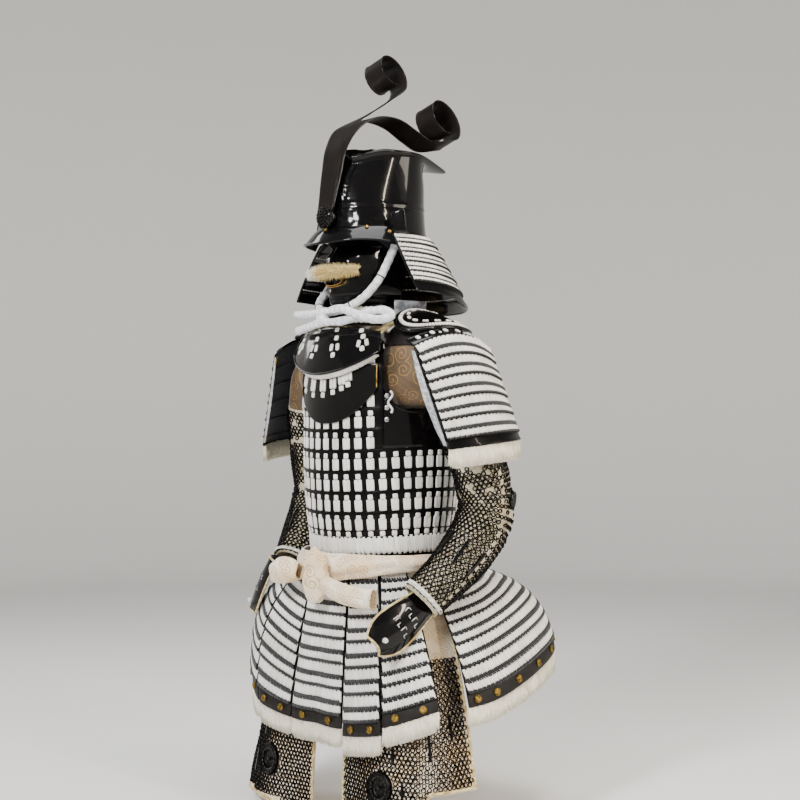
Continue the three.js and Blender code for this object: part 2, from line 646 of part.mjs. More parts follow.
function addChinCord() {
  const mirrored = CHIN_CORD.map(({ x, y, z }) => ({ x: -x, y, z })).reverse();
  add("chin_cord", cordAlong([...CHIN_CORD, CHIN_KNOT, ...mirrored], CORD_RADIUS, 26), "cord");
  add("chin_bow", cordAlong(BOW, CORD_RADIUS, 40), "cord");
}

// Arms --------------------------------------------------------------------------------------

// A shoulder guard's face; v below 0 is its crown plate and v above 1 its fringe.
function shoulderGuardSurface(u, v) {
  const guard = SHOULDER_GUARD;
  const edge = (top, bottom) => vector(...top).lerp(vector(...bottom), v);
  const point = edge(guard.backTop, guard.backBottom).lerp(edge(guard.frontTop, guard.frontBottom), 1 - u);
  const middle = 4 * u * (1 - u);
  point.x += middle * lerp(guard.topBulge, guard.bottomBulge, Math.min(v, 1) ** 0.8 || 0);
  point.z += middle * lerp(guard.topRise, guard.bottomRise, v);
  return point;
}

function addShoulderGuards() {
  const face = (u, v) => shoulderGuardSurface(u, Math.max(v, 0));
  const rows = lames(SHOULDER_GUARD.edges, false);
  addPair("shoulder_guard", sheet(face, stations(8), rows, PLATE), "lacing");
  const crown = (u, v) => {
    const foot = shoulderGuardSurface(u, 0);
    const height = CROWN_PLATE.clearance + CROWN_PLATE.height * (1 - v);
    return foot.add(vector(-CROWN_PLATE.lean * height, 0, CROWN_PLATE.rise * height));
  };
  addPair("shoulder_crown", sheet(crown, stations(8), flat(1), PLATE), "lacquer");
  const fringe = (u, v) => {
    const hem = shoulderGuardSurface(u, 1);
    return hem.add(vector(4 * v, 0, -GAP * 2 - v * FUR_REACH));
  };
  addPair("shoulder_fringe", sheet(fringe, stations(8), flat(1), FUR_DEPTH), "fur");
}

// A ring of points round a sleeve. It is worked out on the left, and the right sleeve mirrors it.
function sleeveRing(table, place, inset, count) {
  const centre = (at) => vector(...["x", "y", "z"].map((axis) => between(table, "at", axis, at)));
  const along = centre(Math.min(place + 0.01, 1)).sub(centre(Math.max(place - 0.01, 0))).normalize();
  const deepAxis = vector(0, 1, 0).addScaledVector(along, -along.y).normalize();
  const acrossAxis = along.clone().cross(deepAxis);
  const across = between(table, "at", "across", place) - inset;
  const deep = between(table, "at", "deep", place) - inset;
  return Array.from({ length: count }, (_, i) => {
    const a = (i / count) * 2 * Math.PI;
    return centre(place)
      .addScaledVector(acrossAxis, across * Math.cos(a))
      .addScaledVector(deepAxis, deep * Math.sin(a));
  });
}

function sleeve(table) {
  const places = stations(11);
  const outer = places.map((place) => sleeveRing(table, place, 0, 14));
  const inner = places.map((place) => sleeveRing(table, place, CLOTH, 14)).reverse();
  return closed(joinLoops([...outer, ...inner], true));
}

function handGuard(hand) {
  const along = vector(...hand.along).normalize();
  const outward = vector(...hand.outward).addScaledVector(along, -vector(...hand.outward).dot(along)).normalize();
  const width = along.clone().cross(outward);
  const surface = (u, v) => {
    const side = 2 * u - 1;
    const spread = Math.sin(Math.min(v * 1.4, 1) * 1.57);
    const rounded = Math.sqrt(1 - 4 * clamp(v - 0.55, 0, 0.45) ** 2);
    return vector(...hand.wrist)
      .addScaledVector(along, hand.length * v)
      .addScaledVector(width, side * rounded * lerp(HAND_GUARD.wristHalfWidth, HAND_GUARD.halfWidth, spread))
      .addScaledVector(outward, -HAND_GUARD.sideDrop * side ** 2 - HAND_GUARD.endDrop * v ** 2);
  };
  return sheet(surface, stations(6), flat(6), SHELL);
}

function addArms() {
  for (const arm of ARMS) {
    const pieces = [
      add(`sleeve_${arm.side}`, sleeve(arm.sleeve), "mail"),
      add(`hand_guard_${arm.side}`, handGuard(arm.hand), "lacquer"),
    ];
    if (arm.side === "right") pieces.forEach((piece) => (piece.scale.x = -1));
  }
}

// Sash --------------------------------------------------------------------------------------

function addSashBand() {
  const count = 32;
  const section = 8;
  const loops = Array.from({ length: count }, (_, i) => {
    const angle = (i / count) * 360;
    const a = radians(angle);
    const front = clamp(Math.cos(a), 0, 1) ** 3;
    const bottom = lerp(SASH.sideBottomZ, SASH.frontBottomZ, front);
    const middle = (SASH.topZ + bottom) / 2;
    const halfHeight = (SASH.topZ - bottom) / 2;
    return Array.from({ length: section }, (_, k) => {
      const b = (k / section) * 2 * Math.PI;
      const out = 2 + (SASH.thickness / 2) * (1 + Math.cos(b)) - 2 * Math.sin(b);
      const x = (SASH.halfWidth + out) * Math.sin(a);
      return vector(x, -(SASH.halfDepth + out) * Math.cos(a), middle + halfHeight * Math.sin(b));
    });
  });
  add("sash_band", closed(joinLoops(loops, true)), "brocade");
}

// A rolled length of sash: an open tube of cloth whose radius follows its table.
function rolledCloth(table) {
  const rows = table.map((row, i) => ({ ...row, at: i / (table.length - 1) }));
  const centre = (at) => vector(...["x", "y", "z"].map((axis) => between(rows, "at", axis, at)));
  const ring = (at, inset) => {
    const along = centre(Math.min(at + 0.02, 1)).sub(centre(Math.max(at - 0.02, 0))).normalize();
    const up = vector(0, 0, 1).addScaledVector(along, -along.z).normalize();
    const side = along.clone().cross(up);
    const radius = between(rows, "at", "radius", at) - inset;
    return Array.from({ length: 12 }, (_, i) => {
      const a = (i / 12) * 2 * Math.PI;
      return centre(at)
        .addScaledVector(up, radius * Math.sin(a))
        .addScaledVector(side, 0.72 * radius * Math.cos(a));
    });
  };
  const places = stations(6);
  const outer = places.map((at) => ring(at, 0));
  const inner = places.map((at) => ring(at, SASH_WALL)).reverse();
  return closed(joinLoops([...outer, ...inner], true));
}

function addSashKnot() {
  const { x, y, z, halfWidth, halfHeight, halfDepth } = SASH_KNOT;
  const knot = new THREE.SphereGeometry(1, 14, 10);
  knot.scale(halfWidth, halfDepth, halfHeight);
  add("sash_knot", knot, "brocade").position.set(x, y, z);
  add("sash_loop", rolledCloth(SASH_LOOP), "brocade");
  add("sash_end", rolledCloth(SASH_END), "brocade");
}

// Skirt -------------------------------------------------------------------------------------

const skirtEdge = (name) => SKIRT_EDGES.findIndex((edge) => edge.name === name);

// A point of the skirt at a place between the edge lines (their index, which may be a fraction;
// negative on the armour's right in front, past the last on its right behind) and a share of the
// way from the waist to the hem.
function skirtPoint(place, v, drop = 0) {
  const last = SKIRT_EDGES.length - 1;
  const mirrored = place < 0 || place > last;
  const folded = place < 0 ? -place : place > last ? 2 * last - place : place;
  const rows = SKIRT_EDGES.map((edge, at) => ({ ...edge, at }));
  const read = (column) => between(rows, "at", column, folded);
  const a = radians(read("angle"));
  const top = vector(SKIRT_TOP.halfWidth * Math.sin(a), -SKIRT_TOP.halfDepth * Math.cos(a), SKIRT_TOP.z);
  const hem = vector(read("x"), read("y"), read("z") - drop);
  const away = vector(hem.x - top.x, hem.y - top.y, 0).normalize();
  const dome = read(mirrored ? "rightDome" : "leftDome");
  const control = (share, { out, up }) =>
    top.clone().lerp(hem, share).addScaledVector(away, out * dome).add(vector(0, 0, up * dome));
  const curve = new THREE.CubicBezierCurve3(top, control(1 / 3, DOME_UPPER), control(2 / 3, DOME_LOWER), hem);
  const inside = clamp(v, 0, 1);
  const point = curve.getPoint(inside).addScaledVector(curve.getTangent(inside), (v - inside) * 300);
  if (mirrored) point.x *= -1;
  return point;
}

function addSkirtPanel(panel) {
  const last = SKIRT_EDGES.length - 1;
  const [from, to] = [skirtEdge(panel.from), skirtEdge(panel.to)];
  const width = skirtPoint(from, 1).distanceTo(skirtPoint(to, 1));
  const inset = (PANEL_INSET / width) * (to - from);
  const ranges = {
    left: [from + inset, to - inset],
    right: [inset - to, -inset - from],
    middle: from === 0 ? [inset - to, to - inset] : [from + inset, 2 * last - from - inset],
  };
  const [start, end] = ranges[panel.side];
  const surface = (u, v) => skirtPoint(lerp(start, end, u), v, panel.drop);
  const fringe = (u, v) => {
    const hem = surface(u, 1);
    const away = vector(hem.x, hem.y, 0).normalize();
    return hem.add(vector(0, 0, -GAP * 3 - v * FUR_REACH)).addScaledVector(away, 1 + 3 * v);
  };
  add(panel.name, sheet(surface, stations(panel.columns), lames(SKIRT_LAMES, false), PLATE), "lacing");
  const fringeName = panel.name.replace(/(_left|_right|)$/, "_fringe$1");
  add(fringeName, sheet(fringe, stations(panel.columns), flat(1), FUR_DEPTH), "fur");
}

// Thigh guards ------------------------------------------------------------------------------

function thighPoint(u, v) {
  const read = (column) => between(THIGH_EDGES, "at", column, clamp(u, 0, 1));
  const a = radians(read("angle"));
  const top = vector(THIGH_TOP.halfWidth * Math.sin(a), -THIGH_TOP.halfDepth * Math.cos(a), THIGH_TOP.z);
  const wing = smoothstep(u, THIGH_HEM.wingFrom, THIGH_HEM.wingTo);
  const apron = lerp(THIGH_HEM.innerZ, THIGH_HEM.outerZ, u / THIGH_HEM.wingFrom);
  const hemZ = lerp(apron, THIGH_HEM.wingZ, wing);
  const share = (v * (THIGH_TOP.z - hemZ)) / (THIGH_TOP.z - THIGH_HEM.innerZ);
  const outShare = share * (1 + THIGH_FULLNESS * (1 - share));
  const x = lerp(top.x, read("x"), outShare) + (u - clamp(u, 0, 1)) * 300;
  return vector(x, lerp(top.y, read("y"), outShare), lerp(top.z, THIGH_HEM.innerZ, share));
}

function addThighGuards() {
  const band = (z, inset) =>
    Array.from({ length: 24 }, (_, i) => {
      const a = (i / 24) * 2 * Math.PI;
      return vector((THIGH_BAND.halfWidth - inset) * Math.sin(a), -(THIGH_BAND.halfDepth - inset) * Math.cos(a), z);
    });
  const { topZ, bottomZ } = THIGH_BAND;
  const loops = [band(topZ, 0), band(bottomZ, 0), band(bottomZ, CLOTH), band(topZ, CLOTH)];
  add("thigh_band", closed(joinLoops(loops, true)), "brocade");
  const columns = [0, 0.1, 0.2, 0.3, 0.4, 0.5, 0.58, THIGH_HEM.wingFrom, THIGH_HEM.wingTo, 0.8, 0.9, 1];
  addPair("thigh_guard", sheet(thighPoint, columns, flat(6), CLOTH), "mail");
}

addTrunk();
addWaistLacing();
addStraps();
addCollar();
addShoulderWings();
addHelmet();
addPeak();
addNeckGuard();
addCrest();
addMask();
addThroatGuard();
addChinCord();
addShoulderGuards();
addArms();
addSashBand();
addSashKnot();
SKIRT_PANELS.forEach(addSkirtPanel);
addThighGuards();

export default parts;
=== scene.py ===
"""A laced samurai armour: lacquer, silk lacing, fur, mail and brocade over its plain solids.

Lengths are in millimetres until a mesh is finished, and in metres from then on.
The armour faces -Y, and +X is its own left.
"""
import itertools
import math
import random

import bmesh
import bpy
from mathutils import Matrix, Vector, noise


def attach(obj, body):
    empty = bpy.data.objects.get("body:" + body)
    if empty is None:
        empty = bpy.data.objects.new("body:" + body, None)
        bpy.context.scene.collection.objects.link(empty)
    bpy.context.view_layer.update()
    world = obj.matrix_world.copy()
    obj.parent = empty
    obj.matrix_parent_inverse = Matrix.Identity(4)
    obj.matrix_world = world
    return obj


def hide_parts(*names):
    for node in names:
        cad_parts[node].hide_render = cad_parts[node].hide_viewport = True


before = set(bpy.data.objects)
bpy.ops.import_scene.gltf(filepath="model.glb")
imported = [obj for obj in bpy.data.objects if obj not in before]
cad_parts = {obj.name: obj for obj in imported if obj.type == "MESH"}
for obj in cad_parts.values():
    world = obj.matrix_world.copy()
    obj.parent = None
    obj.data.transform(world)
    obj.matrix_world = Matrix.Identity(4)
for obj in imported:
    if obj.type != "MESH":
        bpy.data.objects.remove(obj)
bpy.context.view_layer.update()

bl_info = {
    "name": "Laced Samurai Armour",
    "version": (1, 0, 0),
    "blender": (4, 5, 0),
    "location": "3D View > Sidebar > Armour",
    "description": "Dresses a samurai armour in lacquer, silk lacing, fur, mail and brocade",
    "category": "Object",
}

MM = 0.001
TAU = 2 * math.pi
UP = Vector((0, 0, 1))
SIDES = ("left", "right")

# The forms of the armour, as its solids have them --------------------------------------------

PLATE = 3  # thickness of a laced or lacquered plate
SHELL = 2.5  # helmet and mask
CLOTH = 2
LAME_STEP = 2.4  # how far a plate's edge stands over the next plate

# z, half width, half depth
TRUNK = [
    (-40, 168, 138),
    (-110, 178, 147),
    (-200, 181, 150),
    (-300, 180, 150),
    (-400, 173, 145),
    (-447, 167, 140),
    (-520, 163, 136),
]
ROW_RISE = 9
CHEST_EDGES = [-50, -95, -138, -181, -224, -267]
BELLY_EDGES = [-267, -310, -353, -395, -434, -447]
CHEST_HALF_ANGLE = 45
SIDE_JOINT_ANGLE = 95
ARMHOLE_FLOOR = -165
WAIST_BOTTOM = -503

HELMET_AXIS_Y = -25
# z, half width, reach to the front and to the back, prow, share of the tail
HELMET = [
    (185, 112, 121, 119, 0, 0),
    (215, 106, 116, 119, 0, 0),
    (246, 102, 111, 120, 0.08, 0),
    (290, 102, 102, 121, 0.3, 0),
    (343, 102, 84, 121, 0.5, 0),
    (357, 104, 86, 124, 0.5, 1),
    (363, 103, 85, 123, 0.5, 1),
    (369, 68, 55, 80, 0.4, 0.1),
]
HELMET_TOP = 373
TAIL_REACH = 80
TAIL_DROP = 12
NECK_GUARD_EDGES = [0, 0.165, 0.33, 0.495, 0.66, 0.83, 1]

# Each frond: the points of its stem, then the centre, radius and two angles of its curl.
TALL_STEM = [
    (-10, -159, 232), (-17, -139, 316), (-17, -128, 362), (-18, -101, 405),
    (-20, -62, 431), (-26, 0, 463), (-36, 42, 487),
]
TALL_CURL = ((-45, 50, 549), 48, -62, 232)
LOW_STEM = [
    (16, -159, 232), (17, -139, 316), (17, -128, 362), (18, -101, 405),
    (20, -56, 433), (24, 8, 431), (30, 56, 408), (37, 94, 391),
]
LOW_CURL = ((45, 123, 443), 53, -92, 228)
CURL_PLANE = 100
CURL_SHRINK = 10

MASK_AXIS_Y = -20
MASK_HALF_ANGLE = 96
# z, half width, depth
MASK = [(162, 84, 88), (140, 86, 100), (110, 86, 106), (85, 83, 106), (60, 78, 107), (40, 70, 102)]

CHIN_CORD = [(103, -52, 158), (99, -70, 120), (91, -90, 82), (72, -115, 47), (40, -134, 27), (0, -141, 22)]
BOW = [
    (-112, -140, 22), (-62, -155, 18), (-8, -162, 19), (60, -154, 26), (122, -133, 22),
    (152, -117, 17), (163, -111, 8), (151, -119, -2), (118, -137, -3), (60, -158, -2),
    (0, -165, -2), (-56, -158, -10), (-104, -143, -14),
]

# place along the sleeve, centre x, y, z, half width across, half depth
UPPER_SLEEVE = [
    (0, 190, -2, -66, 44, 60),
    (0.16, 224, 0, -120, 44, 62),
    (0.3, 243, 9, -185, 47, 60),
    (0.45, 257, 27, -270, 53, 58),
    (0.62, 270, 46, -358, 54, 57),
]
LEFT_SLEEVE = UPPER_SLEEVE + [
    (0.72, 272, 36, -415, 55, 58),
    (0.86, 256, -14, -488, 50, 53),
    (1, 221, -90, -568, 42, 43),
]
RIGHT_SLEEVE = UPPER_SLEEVE + [
    (0.74, 269, 31, -411, 53, 55),
    (0.87, 256, -5, -465, 48, 50),
    (1, 241, -54, -524, 42, 43),
]
# Each hand guard, on the left: wrist, direction of the hand, direction it faces, length.
LEFT_HAND = ((239, -103, -580), (-0.07, -0.84, -0.54), (0.985, -0.14, 0.09), 122)
RIGHT_HAND = ((252, -119, -526), (0.4, -0.26, -0.88), (0.56, -0.775, 0.29), 104)

# place along the roll, centre x, y, z, radius
SASH_LOOP = [
    (0, -40, -190, -520, 20),
    (0.333, -76, -196, -518, 27),
    (0.667, -110, -192, -523, 27),
    (1, -134, -180, -532, 21),
]
SASH_END = [
    (0, 44, -194, -538, 17), (0.333, 90, -196, -550, 20), (0.667, 136, -189, -558, 21), (1, 178, -176, -561, 24),
]

# place, angle at the waist, hem x, y, z, dome on the left, dome on the right
SKIRT_EDGES = [
    (0, 0, 0, -176, -830, 0.12, 0.12),
    (1, 10, 44, -180, -831, 0.14, 0.14),
    (2, 20, 84, -178, -830, 0.16, 0.2),
    (3, 31, 146, -181, -822, 0.2, 0.6),
    (4, 43, 200, -174, -812, 0.24, 1.1),
    (5, 53, 255, -148, -793, 0.26, 1.3),
    (6, 64, 300, -110, -773, 0.3, 1.45),
    (7, 80, 312, -44, -773, 0.4, 1.3),
    (8, 98, 322, 40, -760, 0.8, 1.1),
    (9, 116, 306, 165, -722, 1.12, 1.12),
    (10, 137, 249, 276, -690, 1.12, 1.12),
    (11, 158, 130, 322, -676, 1, 1),
    (12, 180, 0, 340, -670, 1, 1),
]
SKIRT_LAMES = [0, 0.155, 0.31, 0.465, 0.62, 0.775, 0.93, 1]
# name, side, from place, to place, drop of the hem
SKIRT_PANELS = [
    ("skirt_front", "middle", 0, 2, 0),
    ("skirt_second_left", "left", 2, 4, 14),
    ("skirt_second_right", "right", 2, 4, 0),
    ("skirt_third_left", "left", 4, 6, 0),
    ("skirt_third_right", "right", 4, 6, 0),
    ("skirt_side_left", "left", 7, 11, 0),
    ("skirt_side_right", "right", 7, 11, 0),
    ("skirt_back", "middle", 11, 12, 0),
]

# place across, angle at the waist, hem x, y
THIGH_EDGES = [
    (0, 16, 48, -145), (0.34, 42, 165, -167), (0.62, 58, 268, -151), (0.76, 74, 300, -102), (1, 98, 316, -10),
]
THIGH_TOP = -492
THIGH_BOTTOM = -1035
MAIL_TOP = -687  # below this a thigh guard is mail, above it bare brocade


def lerp(a, b, t):
    return a + (b - a) * t


def clamp(value, low=0.0, high=1.0):
    return max(low, min(high, value))


def smoothstep(value, low, high):
    t = clamp((value - low) / (high - low))
    return t * t * (3 - 2 * t)


def bump(value, centre, width):
    """A smooth hill of height 1 at the centre."""
    return math.exp(-(((value - centre) / width) ** 2))


def between(rows, place):
    """Smooth values between the rows of a table, which is read by its first column."""
    last = len(rows) - 1
    rising = rows[last][0] > rows[0][0]
    row = 0
    while row < last - 1 and (place > rows[row + 1][0]) == rising:
        row += 1
    before, start, end, after = (rows[min(max(k, 0), last)] for k in range(row - 1, row + 3))
    span = end[0] - start[0]
    t = clamp((place - start[0]) / span)
    values = []
    for c in range(1, len(start)):
        leaving = (end[c] - before[c]) / (end[0] - before[0]) * span
        arriving = (after[c] - start[c]) / (after[0] - start[0]) * span
        values.append(
            (2 * t**3 - 3 * t**2 + 1) * start[c]
            + (t**3 - 2 * t**2 + t) * leaving
            + (3 * t**2 - 2 * t**3) * end[c]
            + (t**3 - t**2) * arriving
        )
    return values


def trunk_point(angle, z, out=0.0):
    a = math.radians(angle)
    half_width, half_depth = between(TRUNK, z)
    x, y = (half_width + out) * math.sin(a), -(half_depth + out) * math.cos(a)
    return Vector((x, y, z + ROW_RISE * math.sin(a) ** 2))


def trunk_surface(from_angle, to_angle, top, bottom):
    return lambda u, v: trunk_point(lerp(from_angle, to_angle, u), lerp(top, bottom, v))


def helmet_point(angle, row):
    """A point of the bowl at an angle from the front and one row of its table."""
    z, half_width, front, back, prow, tail_share = row
    forward = (1 + math.cos(angle)) / 2
    reach = lerp(back, front, forward)
    narrowing = 1 - prow * forward**1.5
    tail = tail_share * clamp(-math.cos(angle)) ** 6
    x = half_width * math.sin(angle) * narrowing * (1 - 0.35 * tail)
    return Vector((x, HELMET_AXIS_Y - reach * math.cos(angle) + TAIL_REACH * tail, z - TAIL_DROP * tail))


def about_helmet(angle, radius, z, stretch=1.0):
    a = math.radians(angle)
    return Vector((radius * math.sin(a), HELMET_AXIS_Y - radius * stretch * math.cos(a), z))


def neck_guard_point(u, v):
    from_angle = lerp(69, 76, v)
    behind = 1 - abs(2 * u - 1)
    radius = lerp(121, 203, max(v, 0) ** 0.9)
    drop = lerp(124, 154, smoothstep(behind, 0, 0.8))
    return about_helmet(lerp(from_angle, 360 - from_angle, u), radius, 181 - drop * v)


def peak_point(u, v):
    angle = lerp(-68, 68, u)
    edge = 162 + 5 * math.sin(math.radians(abs(angle) * 2)) ** 2
    z = lerp(198, edge, max(v, 0) ** 1.3)
    return about_helmet(angle, lerp(112.5, 133, v), z, lerp(1.07, 1.14, v))


def mask_point(angle, z):
    a = math.radians(angle)
    half_width, depth = between(MASK, z)
    return Vector((half_width * math.sin(a), MASK_AXIS_Y - depth * math.cos(a), z))


def about_body(angle, radius, z):
    a = math.radians(angle)
    return Vector((radius * math.sin(a), -radius * math.cos(a), z))


def throat_upper_point(u, v):
    z = lerp(37, -8, v) - 2 * (2 * u - 1) ** 2 * v
    return about_body(lerp(-50, 50, u), lerp(118, 135, v), z)


def throat_lower_point(u, v):
    side = (2 * u - 1) ** 2
    radius = lerp(lerp(139, 165, side), lerp(176, 188, side), max(v, 0) ** 0.8)
    z = lerp(lerp(-10, -22, side), lerp(-110, -64, side), v)
    return about_body(lerp(-48, 48, u), radius, z)


def bib_hem(u):
    return lerp(-212, -142, abs(2 * u - 1) ** 2.2)


def bib_point(u, v):
    return trunk_point(lerp(-37, 41, u), lerp(-92, bib_hem(u), v), 8)


def wing_point(turn, share, side):
    """A point of the oval wing over a shoulder, at a share of the way from its middle to its rim."""
    a = turn * TAU
    x = 164 + share * 58 * math.cos(a)
    y = share * 92 * math.sin(a)
    z = lerp(27, -13, (x - 106) / 116) + 9 * (1 - share**2) - 24 * (y / 92) ** 2
    return Vector((side * x, y, z))


def shoulder_point(u, v):
    """A shoulder guard's face on the left, from its top edge to its hem."""
    front = Vector((228, -112, -58)).lerp(Vector((302, -88, -262)), v)
    back = Vector((236, 95, -58)).lerp(Vector((302, 115, -244)), v)
    point = back.lerp(front, 1 - u)
    middle = 4 * u * (1 - u)
    point.x += middle * lerp(12, 45, clamp(v) ** 0.8)
    point.z += middle * lerp(27, 4, v)
    return point


def direction(table, place, step):
    """The direction of a table's centre line at a place."""
    ahead, behind = (between(table, clamp(place + away))[:3] for away in (step, -step))
    return (Vector(ahead) - Vector(behind)).normalized()


def sleeve_point(table, turn, place, out=0.0):
    x, y, z, across, deep = between(table, place)
    along = direction(table, place, 0.01)
    deep_axis = (Vector((0, 1, 0)) - along * along.y).normalized()
    a = turn * TAU
    level = along.cross(deep_axis) * (across + out) * math.cos(a)
    return Vector((x, y, z)) + level + deep_axis * (deep + out) * math.sin(a)


def hand_guard_point(hand, u, v):
    wrist, along, outward, length = hand
    along = Vector(along).normalized()
    outward = (Vector(outward) - along * Vector(outward).dot(along)).normalized()
    width = along.cross(outward)
    side = 2 * u - 1
    spread = lerp(36, 46, math.sin(min(v * 1.4, 1) * 1.57))
    rounded = math.sqrt(1 - 4 * clamp(v - 0.55, 0, 0.45) ** 2)
    rise = -17 * side**2 - 12 * v**2
    return Vector(wrist) + along * length * v + width * side * rounded * spread + outward * rise


def sash_point(turn, around, out=0.0):
    """A point of the sash band: a turn round the waist and a turn round its roll."""
    a = turn * TAU
    bottom = lerp(-511, -536, clamp(math.cos(a)) ** 3)
    b = around * TAU
    half_height = (-480 - bottom) / 2 + out
    reach = 2 + 10.5 * (1 + math.cos(b)) - 2 * math.sin(b) + out * math.cos(b)
    x, y = (171 + reach) * math.sin(a), -(145 + reach) * math.cos(a)
    return Vector((x, y, (-480 + bottom) / 2 + half_height * math.sin(b)))


def roll_point(table, around, place, out=0.0):
    """A point of a rolled length of sash."""
    x, y, z, radius = between(table, place)
    along = direction(table, place, 0.02)
    up = (UP - along * along.z).normalized()
    a = around * TAU
    radius += out
    return Vector((x, y, z)) + up * radius * math.sin(a) + along.cross(up) * 0.72 * radius * math.cos(a)


def skirt_point(place, v, drop=0.0):
    """A point of the skirt at a place between its edge lines and a share of its height."""
    mirrored = place < 0 or place > 12
    folded = -place if place < 0 else 24 - place if place > 12 else place
    angle, x, y, z, left_dome, right_dome = between(SKIRT_EDGES, folded)
    a = math.radians(angle)
    top = Vector((167 * math.sin(a), -141.5 * math.cos(a), -512))
    hem = Vector((x, y, z - drop))
    away = Vector((hem.x - top.x, hem.y - top.y, 0)).normalized()
    dome = right_dome if mirrored else left_dome
    upper = top.lerp(hem, 1 / 3) + away * 30 * dome + Vector((0, 0, 37 * dome))
    lower = top.lerp(hem, 2 / 3) + away * 44 * dome + Vector((0, 0, 68 * dome))
    t = clamp(v)
    s = 1 - t
    point = top * s**3 + upper * 3 * s * s * t + lower * 3 * s * t * t + hem * t**3
    if v != t:
        tangent = (upper - top) * s * s + (lower - upper) * 2 * s * t + (hem - lower) * t * t
        point += tangent.normalized() * (v - t) * 300
    if mirrored:
        point.x *= -1
    return point


def panel_surface(side, start, end, drop):
    """The surface of one skirt panel: u runs toward the armour's left across the front."""
    width = (skirt_point(start, 1) - skirt_point(end, 1)).length
    inset = 2 / width * (end - start)
    if side == "left":
        first, last = start + inset, end - inset
    elif side == "right":
        first, last = inset - end, -inset - start
    elif start == 0:
        first, last = inset - end, end - inset
    else:
        first, last = start + inset, 24 - start - inset
    return lambda u, v: skirt_point(lerp(first, last, u), v, drop)


def thigh_reach(u):
    """How much of its full height a thigh guard has at u: it is shorter outside its slit."""
    apron = lerp(THIGH_BOTTOM, -1016, u / 0.66)
    hem = lerp(apron, -942, smoothstep(u, 0.66, 0.71))
    return (THIGH_TOP - hem) / (THIGH_TOP - THIGH_BOTTOM)


def thigh_point(u, v):
    """A thigh guard on the left, from its band to its hem."""
    angle, hem_x, hem_y = between(THIGH_EDGES, clamp(u))
    a = math.radians(angle)
    top = Vector((155.5 * math.sin(a), -128.5 * math.cos(a), THIGH_TOP))
    share = v * thigh_reach(u)
    out_share = share * (1 + 0.5 * (1 - share))
    x = lerp(top.x, hem_x, out_share) + (u - clamp(u)) * 300
    return Vector((x, lerp(top.y, hem_y, out_share), lerp(top.z, THIGH_BOTTOM, share)))


def flipped(point):
    return Vector((-point.x, point.y, point.z))


def mirrored(surface):
    """The same surface on the armour's right, still with u toward its left."""
    return lambda u, v: flipped(surface(1 - u, v))


def on_side(side, surface):
    """A surface that is given as the left side has it, on the side that is asked for."""
    return surface if side == "left" else mirrored(surface)


# Making meshes -------------------------------------------------------------------------------


JOIN = 1e-3  # points nearer than this are one


def placed(across, up, out, point):
    """A place from its three axes and its point."""
    axes = Matrix((across, up, out)).transposed().to_4x4()
    axes.translation = point
    return axes


def stand(surface, u, v, height=0.0):
    """The place on a surface where something stands: x runs across, y up it and z out of it."""
    step = 1e-3
    across = (surface(u + step, v) - surface(u - step, v)).normalized()
    up = (surface(u, v - step) - surface(u, v + step)).normalized()
    out = across.cross(up).normalized()
    return placed(across, out.cross(across), out, surface(u, v) + out * height)


def sized(place, width, height, depth, turn=0.0):
    """A place with a template's width, height and depth put on its axes, after a turn about z."""
    return place @ Matrix.Rotation(turn, 4, "Z") @ Matrix.Diagonal((width, height, depth, 1))


def grid(columns, rows):
    """A flat grid a unit wide and high, with its squares in the uv map."""
    bm = bmesh.new()
    bm.loops.layers.uv.new("UVMap")
    bmesh.ops.create_grid(bm, x_segments=columns, y_segments=rows, size=0.5, calc_uvs=True)
    return bm


def put_on(bm, surface, rows=None, flat=(1, 1)):
    """Moves a flat grid on to a surface; rows gives each row of points its v and its lift, and
    flat is the size in millimetres that the cloth's uv map is drawn at."""
    uv = bm.loops.layers.uv.active
    count = len(rows) - 1 if rows else 0
    for face in bm.faces:
        for loop in face.loops:
            x, y = loop.vert.co.x + 0.5, 0.5 - loop.vert.co.y
            v = rows[round(y * count)][0] if rows else y
            loop[uv].uv = (x * flat[0] * MM, -v * flat[1] * MM)
    for vert in bm.verts:
        u, v = vert.co.x + 0.5, 0.5 - vert.co.y
        lift = 0
        if rows:
            v, lift = rows[round(v * count)]
        vert.co = stand(surface, u, v, lift).translation if lift else surface(u, v)


def lame_rows(edges, upward=False, between_rows=2):
    """Rows for plates that overlap like tiles, each leaning out over the next."""
    rows = []
    for start, end in zip(edges, edges[1:]):
        for k in range(between_rows + 1):
            t = k / between_rows
            seam = 0.003 if k == 0 and start != edges[0] else 0
            rows.append((lerp(start, end, t) + seam, LAME_STEP * (1 - t if upward else t)))
    return rows


def template(name, bm):
    """A smooth mesh from a bmesh, which is used up."""
    mesh = bpy.data.meshes.new(name)
    bm.to_mesh(mesh)
    bm.free()
    mesh.polygons.foreach_set("use_smooth", [True] * len(mesh.polygons))
    return mesh


